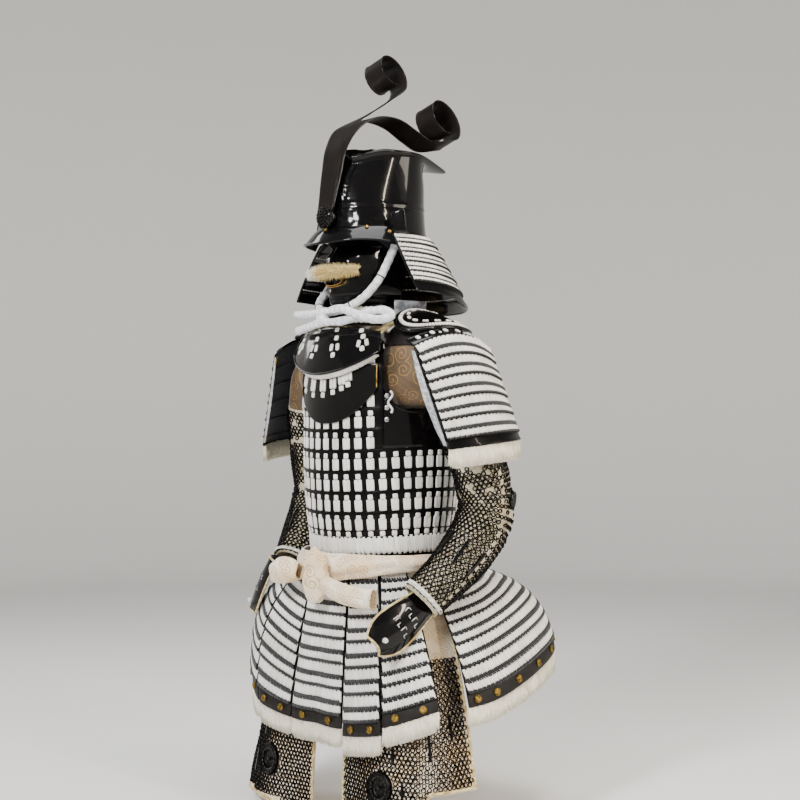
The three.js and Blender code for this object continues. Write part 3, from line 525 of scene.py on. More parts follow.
def finish_mesh(
    name, bm, finishes="lacquer", slot="lacquer", replaces=(), wall=None, lining=None, soften=0.0, sharp=None
):
    """Turns a bmesh in millimetres into a piece of the armour that rides its one body. Its
    finishes are one or several, and a wall's inner face may have a lining of its own."""
    bmesh.ops.scale(bm, vec=(MM, MM, MM), verts=bm.verts)
    mesh = template(name, bm)
    piece = bpy.data.objects.new(name, mesh)
    bpy.context.scene.collection.objects.link(piece)
    finishes = [finishes] if isinstance(finishes, str) else finishes
    for finish in finishes + ([lining] if lining else []):
        mesh.materials.append(look(finish))
    if sharp:
        mesh.set_sharp_from_angle(angle=math.radians(sharp))
    if wall:
        solid = piece.modifiers.new("Thickness", "SOLIDIFY")
        solid.thickness = wall * MM
        solid.offset = -1
        if lining:
            solid.material_offset = len(finishes)
    if soften:
        edge = piece.modifiers.new("Soft edges", "BEVEL")
        edge.width = soften * MM
        edge.segments = 2
        edge.limit_method = "ANGLE"
        edge.angle_limit = math.radians(40)
    if replaces:
        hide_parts(*replaces)
    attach(piece, "root")
    return piece


def sheet(name, surface, columns, rows, finish="lacquer", flat=(1, 1), seamed=False, **options):
    """A sheet over a surface, with rows as a count or as a list of v and lift. Its side edges are
    joined where it is seamed."""
    counted = isinstance(rows, int)
    bm = grid(columns, rows if counted else len(rows) - 1)
    put_on(bm, surface, None if counted else rows, flat)
    if seamed:
        bmesh.ops.remove_doubles(bm, verts=bm.verts, dist=JOIN)
    return finish_mesh(name, bm, finish, **options)


def joined(bm, close=False):
    """Joins a grid's edges where they lie together; close also fills what stays open."""
    bmesh.ops.remove_doubles(bm, verts=bm.verts, dist=JOIN)
    if close:
        bmesh.ops.holes_fill(bm, edges=[e for e in bm.edges if e.is_boundary], sides=0)
    bmesh.ops.recalc_face_normals(bm, faces=bm.faces)


def nearest(surface, target):
    """The u and v of a surface's point nearest to a target."""
    steps = 60
    spots = [(i / steps, j / steps) for i in range(steps + 1) for j in range(steps + 1)]
    return min(spots, key=lambda spot: (surface(*spot) - Vector(target)).length)


def scatter(bm, made, places, material=0):
    """Adds one copy of a template mesh at each place, and uses the template up."""
    made.polygons.foreach_set("material_index", [material] * len(made.polygons))
    at_rest = [0.0] * (3 * len(made.vertices))
    made.vertices.foreach_get("co", at_rest)
    for place in places:
        made.transform(place)
        bm.from_mesh(made)
        made.vertices.foreach_set("co", at_rest)
    bpy.data.meshes.remove(made)


def strewn(name, pairs, finishes="lacquer", **options):
    """One piece from templates, each with its places. Where there are several finishes, each
    template has its own."""
    bm = bmesh.new()
    for index, (made, places) in enumerate(pairs):
        scatter(bm, made, places, 0 if isinstance(finishes, str) else index)
    return finish_mesh(name, bm, finishes, **options)


def pad_template(segments=1, corner=0.2, crest=0.2):
    """A crowned pad a unit wide, high and deep that stands on its plate: one braid of lacing."""
    bm = bmesh.new()
    bmesh.ops.create_cube(bm, size=1)
    bmesh.ops.translate(bm, vec=(0, 0, 0.5), verts=bm.verts)
    upright = lambda edge: abs(edge.verts[0].co.z - edge.verts[1].co.z) > 0.5
    topmost = lambda edge: min(vert.co.z for vert in edge.verts) > 0.9
    for chosen, width in ((upright, corner), (topmost, crest)):
        if width:
            bmesh.ops.bevel(
                bm, geom=[edge for edge in bm.edges if chosen(edge)], offset=width, segments=segments, profile=0.5,
                affect="EDGES", material=-1,
            )
    return template("pad", bm)


def blade_template():
    """A hair or a tuft a unit long that grows down from its root and tapers."""
    bm = bmesh.new()
    bmesh.ops.create_cone(
        bm, cap_ends=True, cap_tris=True, segments=3, radius1=0.15, radius2=0.5, depth=1
    )
    bmesh.ops.translate(bm, vec=(0, 0, -0.5), verts=bm.verts)
    bmesh.ops.rotate(bm, cent=(0, 0, 0), matrix=Matrix.Rotation(-math.pi / 2, 3, "X"), verts=bm.verts)
    return template("blade", bm)


def ring_template():
    """One link of mail lying flat, a unit across, of six sides and three-sided wire."""
    wire_radius = 0.15
    bm = bmesh.new()
    start = bmesh.ops.create_circle(bm, cap_ends=False, segments=3, radius=wire_radius)["verts"]
    bmesh.ops.rotate(bm, cent=(0, 0, 0), matrix=Matrix.Rotation(math.pi / 2, 3, "X"), verts=start)
    bmesh.ops.translate(bm, vec=(0.5 - wire_radius, 0, 0), verts=start)
    bmesh.ops.spin(
        bm, geom=bm.verts[:] + bm.edges[:], cent=(0, 0, 0), axis=(0, 0, 1), angle=TAU, steps=6, use_merge=True
    )
    bmesh.ops.recalc_face_normals(bm, faces=bm.faces)
    return template("ring", bm)


def dome_template(rings, segments, flatness):
    """A round rivet head a unit across, standing on its plate, with a raised ring round it."""
    bm = bmesh.new()
    bmesh.ops.create_uvsphere(bm, u_segments=segments, v_segments=2 * rings, radius=0.5)
    below = [v for v in bm.verts if v.co.z < -0.01]
    bmesh.ops.delete(bm, geom=below, context="VERTS")
    bmesh.ops.contextual_create(bm, geom=[e for e in bm.edges if e.is_boundary])
    for vert in bm.verts:
        across = math.hypot(vert.co.x, vert.co.y)
        rim = 0.12 * bump(across, 0.42, 0.06) - 0.1 * bump(across, 0.3, 0.06)
        vert.co.z = vert.co.z * flatness * 2 + (rim if vert.co.z > 0.01 else 0)
    return template("dome", bm)


def running(points):
    """The length of a line from its start to each of its points."""
    return [0.0, *itertools.accumulate((b - a).length for a, b in zip(points, points[1:]))]


def smooth_line(points, steps):
    """Evenly spaced points on a smooth curve through the given ones."""
    points = [Vector(p) for p in points]
    dense = []
    for i in range(len(points) - 1):
        p1, p2 = points[i], points[i + 1]
        p0 = points[i - 1] if i else p1 * 2 - p2
        p3 = points[i + 2] if i + 2 < len(points) else p2 * 2 - p1
        knots = [0.0]
        for a, b in ((p0, p1), (p1, p2), (p2, p3)):
            knots.append(knots[-1] + max((b - a).length ** 0.5, 1e-6))
        t0, t1, t2, t3 = knots
        for k in range(12):
            t = lerp(t1, t2, k / 12)
            a1 = p0 * ((t1 - t) / (t1 - t0)) + p1 * ((t - t0) / (t1 - t0))
            a2 = p1 * ((t2 - t) / (t2 - t1)) + p2 * ((t - t1) / (t2 - t1))
            a3 = p2 * ((t3 - t) / (t3 - t2)) + p3 * ((t - t2) / (t3 - t2))
            b1 = a1 * ((t2 - t) / (t2 - t0)) + a2 * ((t - t0) / (t2 - t0))
            b2 = a2 * ((t3 - t) / (t3 - t1)) + a3 * ((t - t1) / (t3 - t1))
            dense.append(b1 * ((t2 - t) / (t2 - t1)) + b2 * ((t - t1) / (t2 - t1)))
    dense.append(points[-1])
    reach = running(dense)
    line, at = [], 0
    for k in range(steps + 1):
        want = reach[-1] * k / steps
        while at < len(reach) - 2 and reach[at + 1] < want:
            at += 1
        span = max(reach[at + 1] - reach[at], 1e-9)
        line.append(dense[at].lerp(dense[at + 1], clamp((want - reach[at]) / span)))
    return line


def line_frames(line, looped=False):
    """A point, direction, side and upright for each point of a line, without twist."""
    count = len(line)
    frames = []
    side = None
    for i, point in enumerate(line):
        before = line[i - 1] if i or looped else point
        after = line[(i + 1) % count] if i < count - 1 or looped else point
        along = (after - before).normalized()
        if side is None:
            side = along.orthogonal().normalized()
        side = (side - along * side.dot(along)).normalized()
        frames.append((point, along, side, along.cross(side)))
    return frames


def add_tube(bm, line, radius, around=8, looped=False, section=None):
    """Adds a closed tube along a line of points. section(i, turn) may change its radius."""
    frames = line_frames(line, looped)
    if looped:
        frames.append(frames[0])
    tube = bmesh.new()
    tube.loops.layers.uv.new("UVMap")
    bmesh.ops.create_grid(tube, x_segments=around, y_segments=len(frames) - 1, size=0.5, calc_uvs=True)
    uv = tube.loops.layers.uv.active
    length = running(line)[-1]
    for face in tube.faces:
        for loop in face.loops:
            x, y = loop.vert.co.x + 0.5, loop.vert.co.y + 0.5
            loop[uv].uv = (x * radius * TAU * MM, y * length * MM)
    for vert in tube.verts:
        turn, row = vert.co.x + 0.5, round((vert.co.y + 0.5) * (len(frames) - 1))
        point, _, side, upright = frames[row]
        a = turn * TAU
        reach = radius * (section(row / (len(frames) - 1), turn) if section else 1)
        vert.co = point + side * math.cos(a) * reach + upright * math.sin(a) * reach
    joined(tube, close=not looped)
    made = template("tube", tube)
    bm.from_mesh(made)
    bpy.data.meshes.remove(made)


def tubes(name, lines, radius, finish="lacquer", around=8, looped=False, **options):
    """One piece from several tubes of one radius, each given as its line."""
    bm = bmesh.new()
    bm.loops.layers.uv.new("UVMap")
    for line in lines:
        add_tube(bm, line, radius, around, looped)
    return finish_mesh(name, bm, finish, **options)


def edge_line(surface, corners, steps, height=0.0):
    """A line along a surface through corners given as (u, v)."""
    line = []
    for (u0, v0), (u1, v1) in zip(corners, corners[1:]):
        for k in range(steps):
            t = k / steps
            line.append(stand(surface, lerp(u0, u1, t), lerp(v0, v1, t), height).translation)
    line.append(stand(surface, *corners[-1], height).translation)
    return line


def hem_line(surface, inset, top, bottom, steps, height):
    """A line down one side of a surface, along its hem and up its other side."""
    corners = [(inset, top), (inset, bottom), (1 - inset, bottom), (1 - inset, top)]
    return edge_line(surface, corners, steps, height)


# Materials -----------------------------------------------------------------------------------


def linear(hex_colour):
    """An sRGB hex colour as the linear colour that a shader takes."""
    channels = [int(hex_colour[i : i + 2], 16) / 255 for i in (1, 3, 5)]
    return [c / 12.92 if c <= 0.04045 else ((c + 0.055) / 1.055) ** 2.4 for c in channels] + [1.0]


def grain(millimetres):
    """The scale of a noise whose grains are so many millimetres across."""
    return 1 / (millimetres * MM)


def threads(millimetres):
    """The scale of a wave texture whose bands are so many millimetres apart."""
    return grain(millimetres) / 20


def node(material, kind, settings=None, *values, **inputs):
    """Adds a node and gives back its outputs. Its settings may be just its operation, and a ramp's
    are its stops. Its inputs, in order or by name, are numbers, hex colours or other outputs."""
    tree = material.node_tree
    made = tree.nodes.new("ShaderNode" + kind)
    if isinstance(settings, str):
        settings = {"operation": settings}
    for name, value in (settings or {}).items():
        if name == "stops":
            for element, (place, hex_colour) in zip(made.color_ramp.elements, value):
                element.position = place
                element.color = linear(hex_colour)
        else:
            setattr(made, name, value)
    for name, value in [*enumerate(values), *inputs.items()]:
        if isinstance(name, str):
            name = int(name[1:]) if name[1:].isdigit() else name.replace("_", " ")
        if isinstance(value, bpy.types.NodeSocket):
            tree.links.new(value, made.inputs[name])
        else:
            made.inputs[name].default_value = linear(value) if isinstance(value, str) else value
    return made.outputs


def surfaced(name, colour, **sockets):
    """A new material with its shader; numbers and hex colours are set on the shader's sockets."""
    material = bpy.data.materials.new(name)
    material.use_nodes = True
    shader = material.node_tree.nodes["Principled BSDF"]
    shader.inputs["Base Color"].default_value = linear(colour)
    for socket, value in sockets.items():
        shader.inputs[socket.replace("_", " ")].default_value = value
    return material


def wire(material, **outputs):
    """Links other nodes' outputs to the sockets of a material's shader."""
    shader = material.node_tree.nodes["Principled BSDF"]
    for socket, output in outputs.items():
        material.node_tree.links.new(output, shader.inputs[socket.replace("_", " ")])
    return material


# Settings that several materials share: how two colours mix, and where a mask fades in.
MIXED = {"data_type": "RGBA"}
MULTIPLIED = {"data_type": "RGBA", "blend_type": "MULTIPLY"}
SLANTING = {"bands_direction": "DIAGONAL"}


def mask_stops(low, high):
    return {"stops": ((low, "#000000"), (high, "#ffffff"))}


def urushi(name, colour, worn, roughness, coat):
    """Urushi lacquer over iron or hide: many thin coats, rubbed and polished. It gives the eye a
    deep black with clear, slightly wavering reflections, fine dust and browned, rubbed edges."""
    material = surfaced(
        name, colour, Coat_Weight=coat, Coat_Roughness=0.03, Coat_IOR=1.5, IOR=1.5, Specular_IOR_Level=0.07
    )
    place = node(material, "TexCoord")["Object"]
    dust, patches, waves = (
        node(material, "TexNoise", Vector=place, Scale=grain(width), Detail=detail)["Fac"]
        for width, detail in ((2.2, 4), (46, 3), (26, 1))
    )
    rubbed = node(material, "ValToRGB", mask_stops(0.42, 0.72), patches)[0]
    pits = node(material, "Math", "MULTIPLY", dust, 0.012)[0]
    waver = node(material, "Math", "MULTIPLY_ADD", waves, 1.0, pits)[0]
    return wire(
        material,
        Base_Color=node(material, "Mix", MIXED, rubbed, _6=colour, _7=worn)[2],
        Roughness=node(material, "Math", "MULTIPLY_ADD", dust, 0.16, roughness - 0.08)[0],
        Normal=node(material, "Bump", Height=waver, Distance=0.55 * MM, Strength=0.5)[0],
    )


def silk(name, pale, dark, sheen):
    """Flat silk braid: tightly plaited on a stand. It gives the eye a soft, chalky band with a
    fine slanting plait about 1.6 mm wide, a little different in tone from strand to strand."""
    material = surfaced(name, pale, Roughness=0.72, Sheen_Weight=sheen, Sheen_Roughness=0.4)
    place = node(material, "TexCoord")["Object"]
    plait = node(material, "TexWave", SLANTING, Vector=place, Scale=threads(1.6), Distortion=2.0)["Fac"]
    braid = node(material, "NewGeometry")["Random Per Island"]
    tone = node(material, "ValToRGB", {"stops": ((0, dark), (1, pale))}, braid)[0]
    handled = node(material, "TexNoise", Vector=place, Scale=grain(60), Detail=4)["Fac"]
    soil = node(material, "ValToRGB", {"stops": ((0.35, "#c9c4ba"), (0.6, "#ffffff"))}, handled)[0]
    shade = node(material, "Mix", MULTIPLIED, 0.5, _6=tone, _7=soil)[2]
    # Painted shade: the plait's grooves are mixed a little toward the dark colour, as if shaded.
    groove_shade = node(material, "Math", "MULTIPLY", plait, 0.22)[0]
    return wire(
        material,
        Base_Color=node(material, "Mix", MIXED, groove_shade, _6=shade, _7=dark)[2],
        Normal=node(material, "Bump", Height=plait, Distance=0.3 * MM, Strength=0.6)[0],
    )


def hair(name, root, tip, low, high):
    """Animal hair, washed and combed. It gives the eye fine straight strands, each a little
    lighter or darker than the next, with a dull sheen along them."""
    material = surfaced(name, root, Roughness=0.62, Sheen_Weight=0.35, Sheen_Roughness=0.5)
    place = node(material, "TexCoord")["Object"]
    clumps = node(material, "TexNoise", Vector=place, Scale=grain(14), Detail=3)["Fac"]
    strand = node(material, "NewGeometry")["Random Per Island"]
    tone = node(material, "ValToRGB", {"stops": ((0, root), (1, tip))}, strand)[0]
    faded = node(material, "ValToRGB", mask_stops(low, high), clumps)[0]
    return wire(material, Base_Color=node(material, "Mix", MIXED, faded, _6=tone, _7=tip)[2])


def whisker():
    """Horse or bear hair set in a mask. It gives the eye a golden brush that fades to white at the
    armour's right."""
    material = surfaced("blond whisker hair", "#e3c27c", Roughness=0.6, Sheen_Weight=0.4, Sheen_Roughness=0.5)
    across = node(material, "SeparateXYZ", None, node(material, "TexCoord")["Object"])["X"]
    to_right = node(material, "Math", "MULTIPLY_ADD", across, -16.0, -0.2)[0]
    whitened = node(material, "ValToRGB", mask_stops(0.2, 0.8), to_right)[0]
    strand = node(material, "NewGeometry")["Random Per Island"]
    gold, white = (
        node(material, "ValToRGB", {"stops": ((0, dark), (1, pale))}, strand)[0]
        for dark, pale in (("#c49a3c", "#f2e2a0"), ("#d9d2bd", "#f8f5ec"))
    )
    return wire(material, Base_Color=node(material, "Mix", MIXED, whitened, _6=gold, _7=white)[2])


def swirl_cloth(name, ground, shade, thread, cell, line):
    """Silk brocade: a twill ground with scrolling tendrils in gilt thread. It gives the eye a
    pale, softly shining cloth with fine spirals, raised a little over the weave. Each spiral winds
    about a point of its own in a cell so many millimetres wide, to one hand or the other."""
    material = surfaced(name, ground, Roughness=0.66, Sheen_Weight=0.4, Sheen_Roughness=0.35)
    uv = node(material, "UVMap", {"uv_map": "UVMap"})["UV"]
    drift = node(material, "TexNoise", Vector=uv, Scale=grain(38), Detail=1.0)["Color"]
    bent = node(material, "VectorMath", "MULTIPLY_ADD", drift, (0.010, 0.010, 0), uv)[0]
    scaled = node(material, "VectorMath", "SCALE", bent, Scale=grain(cell))[0]
    cells = node(
        material, "TexVoronoi", {"voronoi_dimensions": "2D"}, Vector=scaled, Scale=1.0, Randomness=0.75
    )
    from_centre = node(material, "VectorMath", "SUBTRACT", scaled, cells["Position"])[0]
    x, y, _ = node(material, "SeparateXYZ", None, from_centre)
    chance = node(material, "SeparateColor", None, cells["Color"])
    angle = node(material, "Math", "ARCTAN2", y, x)[0]
    turned = node(material, "Math", "GREATER_THAN", chance[0], 0.5)[0]
    doubled = node(material, "Math", "MULTIPLY", turned, 2.0)[0]
    hand = node(material, "Math", "SUBTRACT", doubled, 1.0)[0]
    share = node(material, "Math", "MULTIPLY", angle, 1 / TAU)[0]
    turns = node(material, "Math", "MULTIPLY", share, hand)[0]
    wound = node(material, "Math", "MULTIPLY_ADD", cells["Distance"], 4.4, turns)[0]
    started = node(material, "Math", "ADD", wound, chance[1])[0]
    along = node(material, "Math", "FRACT", started)[0]
    beside = node(material, "Math", "SUBTRACT", along, 0.5)[0]
    stripe = node(material, "Math", "ABSOLUTE", beside)[0]
    tendril = node(material, "Math", "LESS_THAN", stripe, line)[0]
    inside = node(material, "Math", "LESS_THAN", cells["Distance"], 0.47)[0]
    gilt = node(material, "Math", "MULTIPLY", tendril, inside)[0]
    twill = node(material, "TexWave", SLANTING, Vector=uv, Scale=threads(1.1), Distortion=0.6)["Fac"]
    place = node(material, "TexCoord")["Object"]
    # Painted shade: soft patches of the shade colour, laid from a noise, stand for the shade between the cloth's
    # folds.
    shade_noise = node(material, "TexNoise", Vector=place, Scale=grain(70), Detail=4)["Fac"]
    shade_patches = node(material, "ValToRGB", {"stops": ((0.34, "#ffffff"), (0.66, "#000000"))}, shade_noise)[0]
    soft = node(material, "Mix", MIXED, shade_patches, _6=ground, _7=shade)[2]
    covered = node(material, "Math", "MULTIPLY", gilt, 0.85)[0]
    coloured = node(material, "Mix", MIXED, covered, _6=soft, _7=thread)[2]
    # Painted shade: the twill's grooves are multiplied a little toward the shade colour.
    groove_shade = node(material, "Math", "MULTIPLY", twill, 0.18)[0]
    relief = node(material, "Math", "MULTIPLY_ADD", gilt, 1.4, twill)[0]
    return wire(
        material,
        Base_Color=node(material, "Mix", MULTIPLIED, groove_shade, _6=coloured, _7=shade)[2],
        Normal=node(material, "Bump", Height=relief, Distance=0.16 * MM, Strength=0.5)[0],
    )


def woven(name, ground, shade, thread_mm, roughness=0.85, sheen=0.25):
    """Plain cloth: a square weave of spun thread, drawn coarser than it is so that it shows. It
    gives the eye a matt, slightly mottled surface."""
    material = surfaced(
        name, ground, Roughness=roughness, Sheen_Weight=sheen, Sheen_Roughness=0.5, Specular_IOR_Level=0.25
    )
    place = node(material, "TexCoord")["Object"]
    warp, weft = (
        node(
            material, "TexWave", {"bands_direction": axis}, Vector=place, Scale=threads(thread_mm), Distortion=1.0
        )["Fac"]
        for axis in ("Z", "X")
    )
    cloth = node(material, "Math", "MULTIPLY", warp, weft)[0]
    worn = node(material, "TexNoise", Vector=place, Scale=grain(11), Detail=4)["Fac"]
    # Painted shade: the weave's raised threads are drawn lighter and its gaps darker; the noise added to it is
    # real wear.
    raised = node(material, "Math", "MULTIPLY", cloth, 0.3)[0]
    wear_and_weave_shade = node(material, "Math", "MULTIPLY_ADD", worn, 0.7, raised)[0]
    return wire(
        material,
        Base_Color=node(material, "ValToRGB", {"stops": ((0.3, shade), (0.62, ground))}, wear_and_weave_shade)[0],
        Normal=node(material, "Bump", Height=cloth, Distance=0.2 * MM, Strength=0.5)[0],
    )


def metal(name, colour, dark, roughness, spots, relief):
    """Gilt, silvered or bare copper and brass, cast and chased by hand, or blackened iron. It
    gives the eye a warm or cool glint, dulled and darkened in its hollows."""
    material = surfaced(name, colour, Metallic=1.0)
    place = node(material, "TexCoord")["Object"]
    wear, chasing = (
        node(material, "TexNoise", Vector=place, Scale=grain(width), Detail=detail)["Fac"]
        for width, detail in ((spots, 4), (1.6, 3))
    )
    return wire(
        material,
        Base_Color=node(material, "ValToRGB", {"stops": ((0.36, dark), (0.6, colour))}, wear)[0],
        Roughness=node(material, "Math", "MULTIPLY_ADD", wear, 0.3, roughness - 0.15)[0],
        Normal=node(material, "Bump", Height=chasing, Distance=relief * MM, Strength=0.6)[0],
    )


MADE = {}


def look(name):
    """The armour's finishes, each made the first time that a piece asks for it."""
    colours = bpy.context.scene.armour_colours
    makers = {
        "lacquer": (urushi, "polished urushi lacquer", colours.lacquer, "#0b0a09", 0.17, 0.36),
        "plate": (urushi, "brushed urushi lacquer", colours.lacquer, "#0c0b0a", 0.34, 0.06),
        "frond": (urushi, "smoked brown-black lacquer", "#151211", "#1d1815", 0.42, 0.12),
        "silk": (silk, "white flat silk braid", colours.silk, "#dcdad6", 0.3),
        "navy": (silk, "blue-black flat silk braid", "#090b12", "#040508", 0.2),
        "fur": (hair, "combed cream fur", "#ece2c8", colours.fur, 0.38, 0.6),
        "under_fur": (hair, "close cream underfur", "#d3c6a3", "#e3d8ba", 0.4, 0.6),
        "whisker": (whisker,),
        "mail": (metal, "blackened iron mail", "#2b2a29", "#0e0d0d", 0.4, 6.0, 0.25),
        "brass": (metal, "dulled brass", "#94783a", "#3f3314", 0.5, 5.0, 0.5),
        "gold": (metal, "chased gilt copper", colours.gold, "#5a4316", 0.42, 5.0, 0.5),
        "silver": (metal, "chased silvered copper", "#c9cac9", "#77787a", 0.32, 4.0, 0.4),
        "lip": (metal, "gilt lacquer line", "#d8a94a", "#8d6a2a", 0.3, 8.0, 0.1),
        # Painted shade: the brocade's second colour is the orange shade between the sash's folds.
        "brocade": (swirl_cloth, "cream and gold brocade", colours.cloth, "#e6cba2", "#946a22", 25.0, 0.1),
        "under_mail": (swirl_cloth, "figured cloth under mail", "#cfc7b2", "#8d8268", "#9a8a60", 40.0, 0.1),
        # The brown is the cloth's own colour; both browns are painted darker as shade, for the shadow inside the
        # armhole under the shoulder guard.
        "armpit": (swirl_cloth, "brown and gold brocade", "#665038", "#43341f", "#9a7638", 30.0, 0.09),
        "figured": (swirl_cloth, "white cloth with blue-grey figures", "#d9d8d4", "#aeb0b4", "#303c54", 9.0, 0.28),
        "collar": (woven, "grey quilted cotton", "#b4b7bb", "#5c6066", 2.6),
        "lining": (woven, "indigo hemp lining", "#161d2f", "#0b0f1b", 2.0),
        "cord": (woven, "soft white silk cord", "#f0f1f3", "#c4c7cd", 2.4, 0.7, 0.45),
        "tape": (woven, "white cotton tape", "#eceae4", "#b9b5aa", 1.8),
        "piping": (woven, "cream silk piping", "#dfcf9f", "#a98f57", 1.5, 0.6),
        "leather": (woven, "smoked brown hide", "#18110e", "#0b0807", 3.2, 0.6, 0.0),
    }
    if name not in MADE:
        maker, *details = makers[name]
        MADE[name] = maker(*details)
    return MADE[name]


# Sizes and colours that a user would change --------------------------------------------------


def length_property(name, description, default):
    return bpy.props.FloatProperty(name=name, description=description, default=default, min=0.0002, unit="LENGTH")


def colour_property(name, description, default):
    return bpy.props.StringProperty(name=name, description=description, default=default)


class ArmourSizes(bpy.types.PropertyGroup):
    """Real sizes of the armour's small repeated things."""

    braid_width: length_property("Braid width", "Width of one silk braid of the close lacing", 0.0054)
    braid_height: length_property("Braid height", "How far a braid stands over its plate", 0.0022)
    column_pitch: length_property("Column pitch", "Distance between the spaced columns on the trunk", 0.026)
    fur_length: length_property("Fur length", "Reach of the fur under the skirt and the shoulder guards", 0.040)
    tuft_width: length_property("Tuft width", "Width of one tuft of fur at its root", 0.0021)
    link_pitch: length_property("Link pitch", "Distance between the links of the mail", 0.0100)
    rivet_width: length_property("Rivet width", "Width of the gilt rivets on the skirt", 0.0170)


class ArmourColours(bpy.types.PropertyGroup):
    """Main colours, as sRGB hex values."""

    lacquer: colour_property("Lacquer", "Colour of the black lacquer", "#080708")
    silk: colour_property("Lacing", "Colour of the white silk lacing", "#f1efea")
    fur: colour_property("Fur", "Colour of the fur fringes", "#f1ead6")
    gold: colour_property("Gold", "Colour of rivets and gilt fittings", "#d3a94c")
    cloth: colour_property("Brocade", "Ground colour of the sash and the thigh guards", "#f2e9da")


def sizes():
    """The sizes in millimetres."""
    group = bpy.context.scene.armour_sizes
    return {name: getattr(group, name) / MM for name in group.__annotations__}


# Lacing, fur and mail, which many pieces share ------------------------------------------------


def plate_lift(edges, v):
    """How far the outer face of overlapping plates stands off their surface at v."""
    for start, end in zip(edges, edges[1:]):
        if v <= end:
            return LAME_STEP * ((v - start) / (end - start))
    return LAME_STEP


def span(surface, v, steps=10):
    """The length of a surface's row at v."""
    return running([surface(k / steps, v) for k in range(steps + 1)])[-1]


def even_places(surface, v, pitch, margin=0.0):
    """Values of u at an even pitch along a row of a surface, clear of its two edges."""
    steps = 40
    reach = running([surface(k / steps, v) for k in range(steps + 1)])
    usable = reach[-1] - 2 * margin
    count = max(1, round(usable / pitch))
    places, at = [], 0
    for k in range(count):
        want = margin + usable * (k + 0.5) / count
        while at < steps - 1 and reach[at + 1] < want:
            at += 1
        t = (want - reach[at]) / max(reach[at + 1] - reach[at], 1e-9)
        places.append((at + t) / steps)
    return places, usable / count


# share of a plate's height: start, end, then the braid's lean and its silk
CLOSE_LACING = [
    (0.03, 0.44, 0.06, "silk"),
    (0.39, 0.62, 0.5, "navy"),
    (0.58, 0.90, 0.10, "silk"),
    # Painted shade: this last row of blue-black braids, along each plate's lower edge, is a dark stripe that
    # stands for the shadow in the gap under that edge.
    (0.87, 0.99, 0.5, "navy"),
]
# A braid's width as a share of the pitch, its depth past that of all braids, and how far, as a
# share of the plate, it stands off a straight row, up and down by turns.
BRAIDS = {"silk": (1.06, 0.5, 0.028), "navy": (0.62, 1.7, 0)}


def lacing_piece(name, surface, edges, bands, margin, seed):
    """Close lacing over plates: rows of upright white braids, with blue-black ones between."""
    rng = random.Random(seed)
    size = sizes()
    places = {"silk": [], "navy": []}
    for start, end in zip(edges, edges[1:]):
        for first, last, lean, thread in bands:
            wide, deep, jag = BRAIDS[thread]
            v0, v1 = lerp(start, end, first), lerp(start, end, last)
            v = (v0 + v1) / 2
            spots, pitch = even_places(surface, v, size["braid_width"], margin)
            for index, u in enumerate(spots):
                height = (surface(u, v1) - surface(u, v0)).length
                aside = (jag if index % 2 else -jag) * (end - start)
                at = stand(surface, u, v + aside, plate_lift(edges, v) - 0.5)
                turn = lean + rng.uniform(-0.04, 0.04)
                tall = height * rng.uniform(0.97, 1.06)
                depth = size["braid_height"] * rng.uniform(0.9, 1.15) + deep
                places[thread].append(sized(at, pitch * wide, tall, depth, turn))
    pairs = [(pad_template(corner=0), places["silk"]), (pad_template(corner=0, crest=0), places["navy"])]
    strewn(name, pairs, ["silk", "navy"], slot="laced_rows")


def fur_piece(node_name, surface, seed, row, rise=0):
    """A fringe of fur that hangs from a surface's hem: a close body with tufts over both of its
    faces. It faces as the surface does at a row near the hem."""
    rng = random.Random(seed)
    size = sizes()
    length, width = size["fur_length"], span(surface, 1)
    root = lambda u: surface(u, 1) + UP * rise
    end_round = lambda from_end: 7 * bump(from_end, 0, 6)

    def out_of(u):
        out = stand(surface, clamp(u, 0.01, 0.99), row).col[2]
        return Vector((out[0], out[1], 0)).normalized()

    def body(u, v):
        turn = v * TAU
        from_end = min(u, 1 - u) * width
        ragged = 1.6 * noise.noise(Vector((u * 37, seed, 0))) - end_round(from_end)
        down = (0.5 - 0.5 * math.cos(turn)) * (length - 4 + ragged)
        deep = -3 + 3.4 * math.sin(turn) * clamp(from_end / 3, 0.15, 1)
        return root(u) + out_of(u) * deep - UP * (0.5 + down)

    bm = grid(max(12, int(width / 4)), 14)
    put_on(bm, body)
    joined(bm, close=True)
    places = []
    rows = 3
    count = int(width / size["tuft_width"] * 1.25)
    for side in (1, -1):
        for layer in range(rows):
            for k in range(count):
                u = clamp((k + rng.uniform(0.1, 0.9)) / count, 0.004, 0.996)
                away, across = out_of(u), out_of(u).cross(UP)
                drop = 1 + layer * length / (rows + 1.2) + rng.uniform(-2, 2)
                start = root(u) + away * (-3 + side * (2.4 + 0.8 * rng.random())) - UP * drop
                reach = (length - end_round(min(u, 1 - u) * width) - drop) * rng.uniform(0.93, 1.03)
                fall = -UP + across * rng.uniform(-0.09, 0.09) + away * side * rng.uniform(-0.02, 0.07)
                fall.normalize()
                facing = (away * side - fall * fall.dot(away * side)).normalized()
                thick = size["tuft_width"] * rng.uniform(0.8, 1.5)
                axes = placed(fall.cross(facing), -fall, facing, start)
                places.append(sized(axes, thick, reach, thick * 0.7))
    scatter(bm, blade_template(), places, 1)
    finish_mesh(node_name + "_fur", bm, ["under_fur", "fur"], slot="fur", replaces=[node_name])


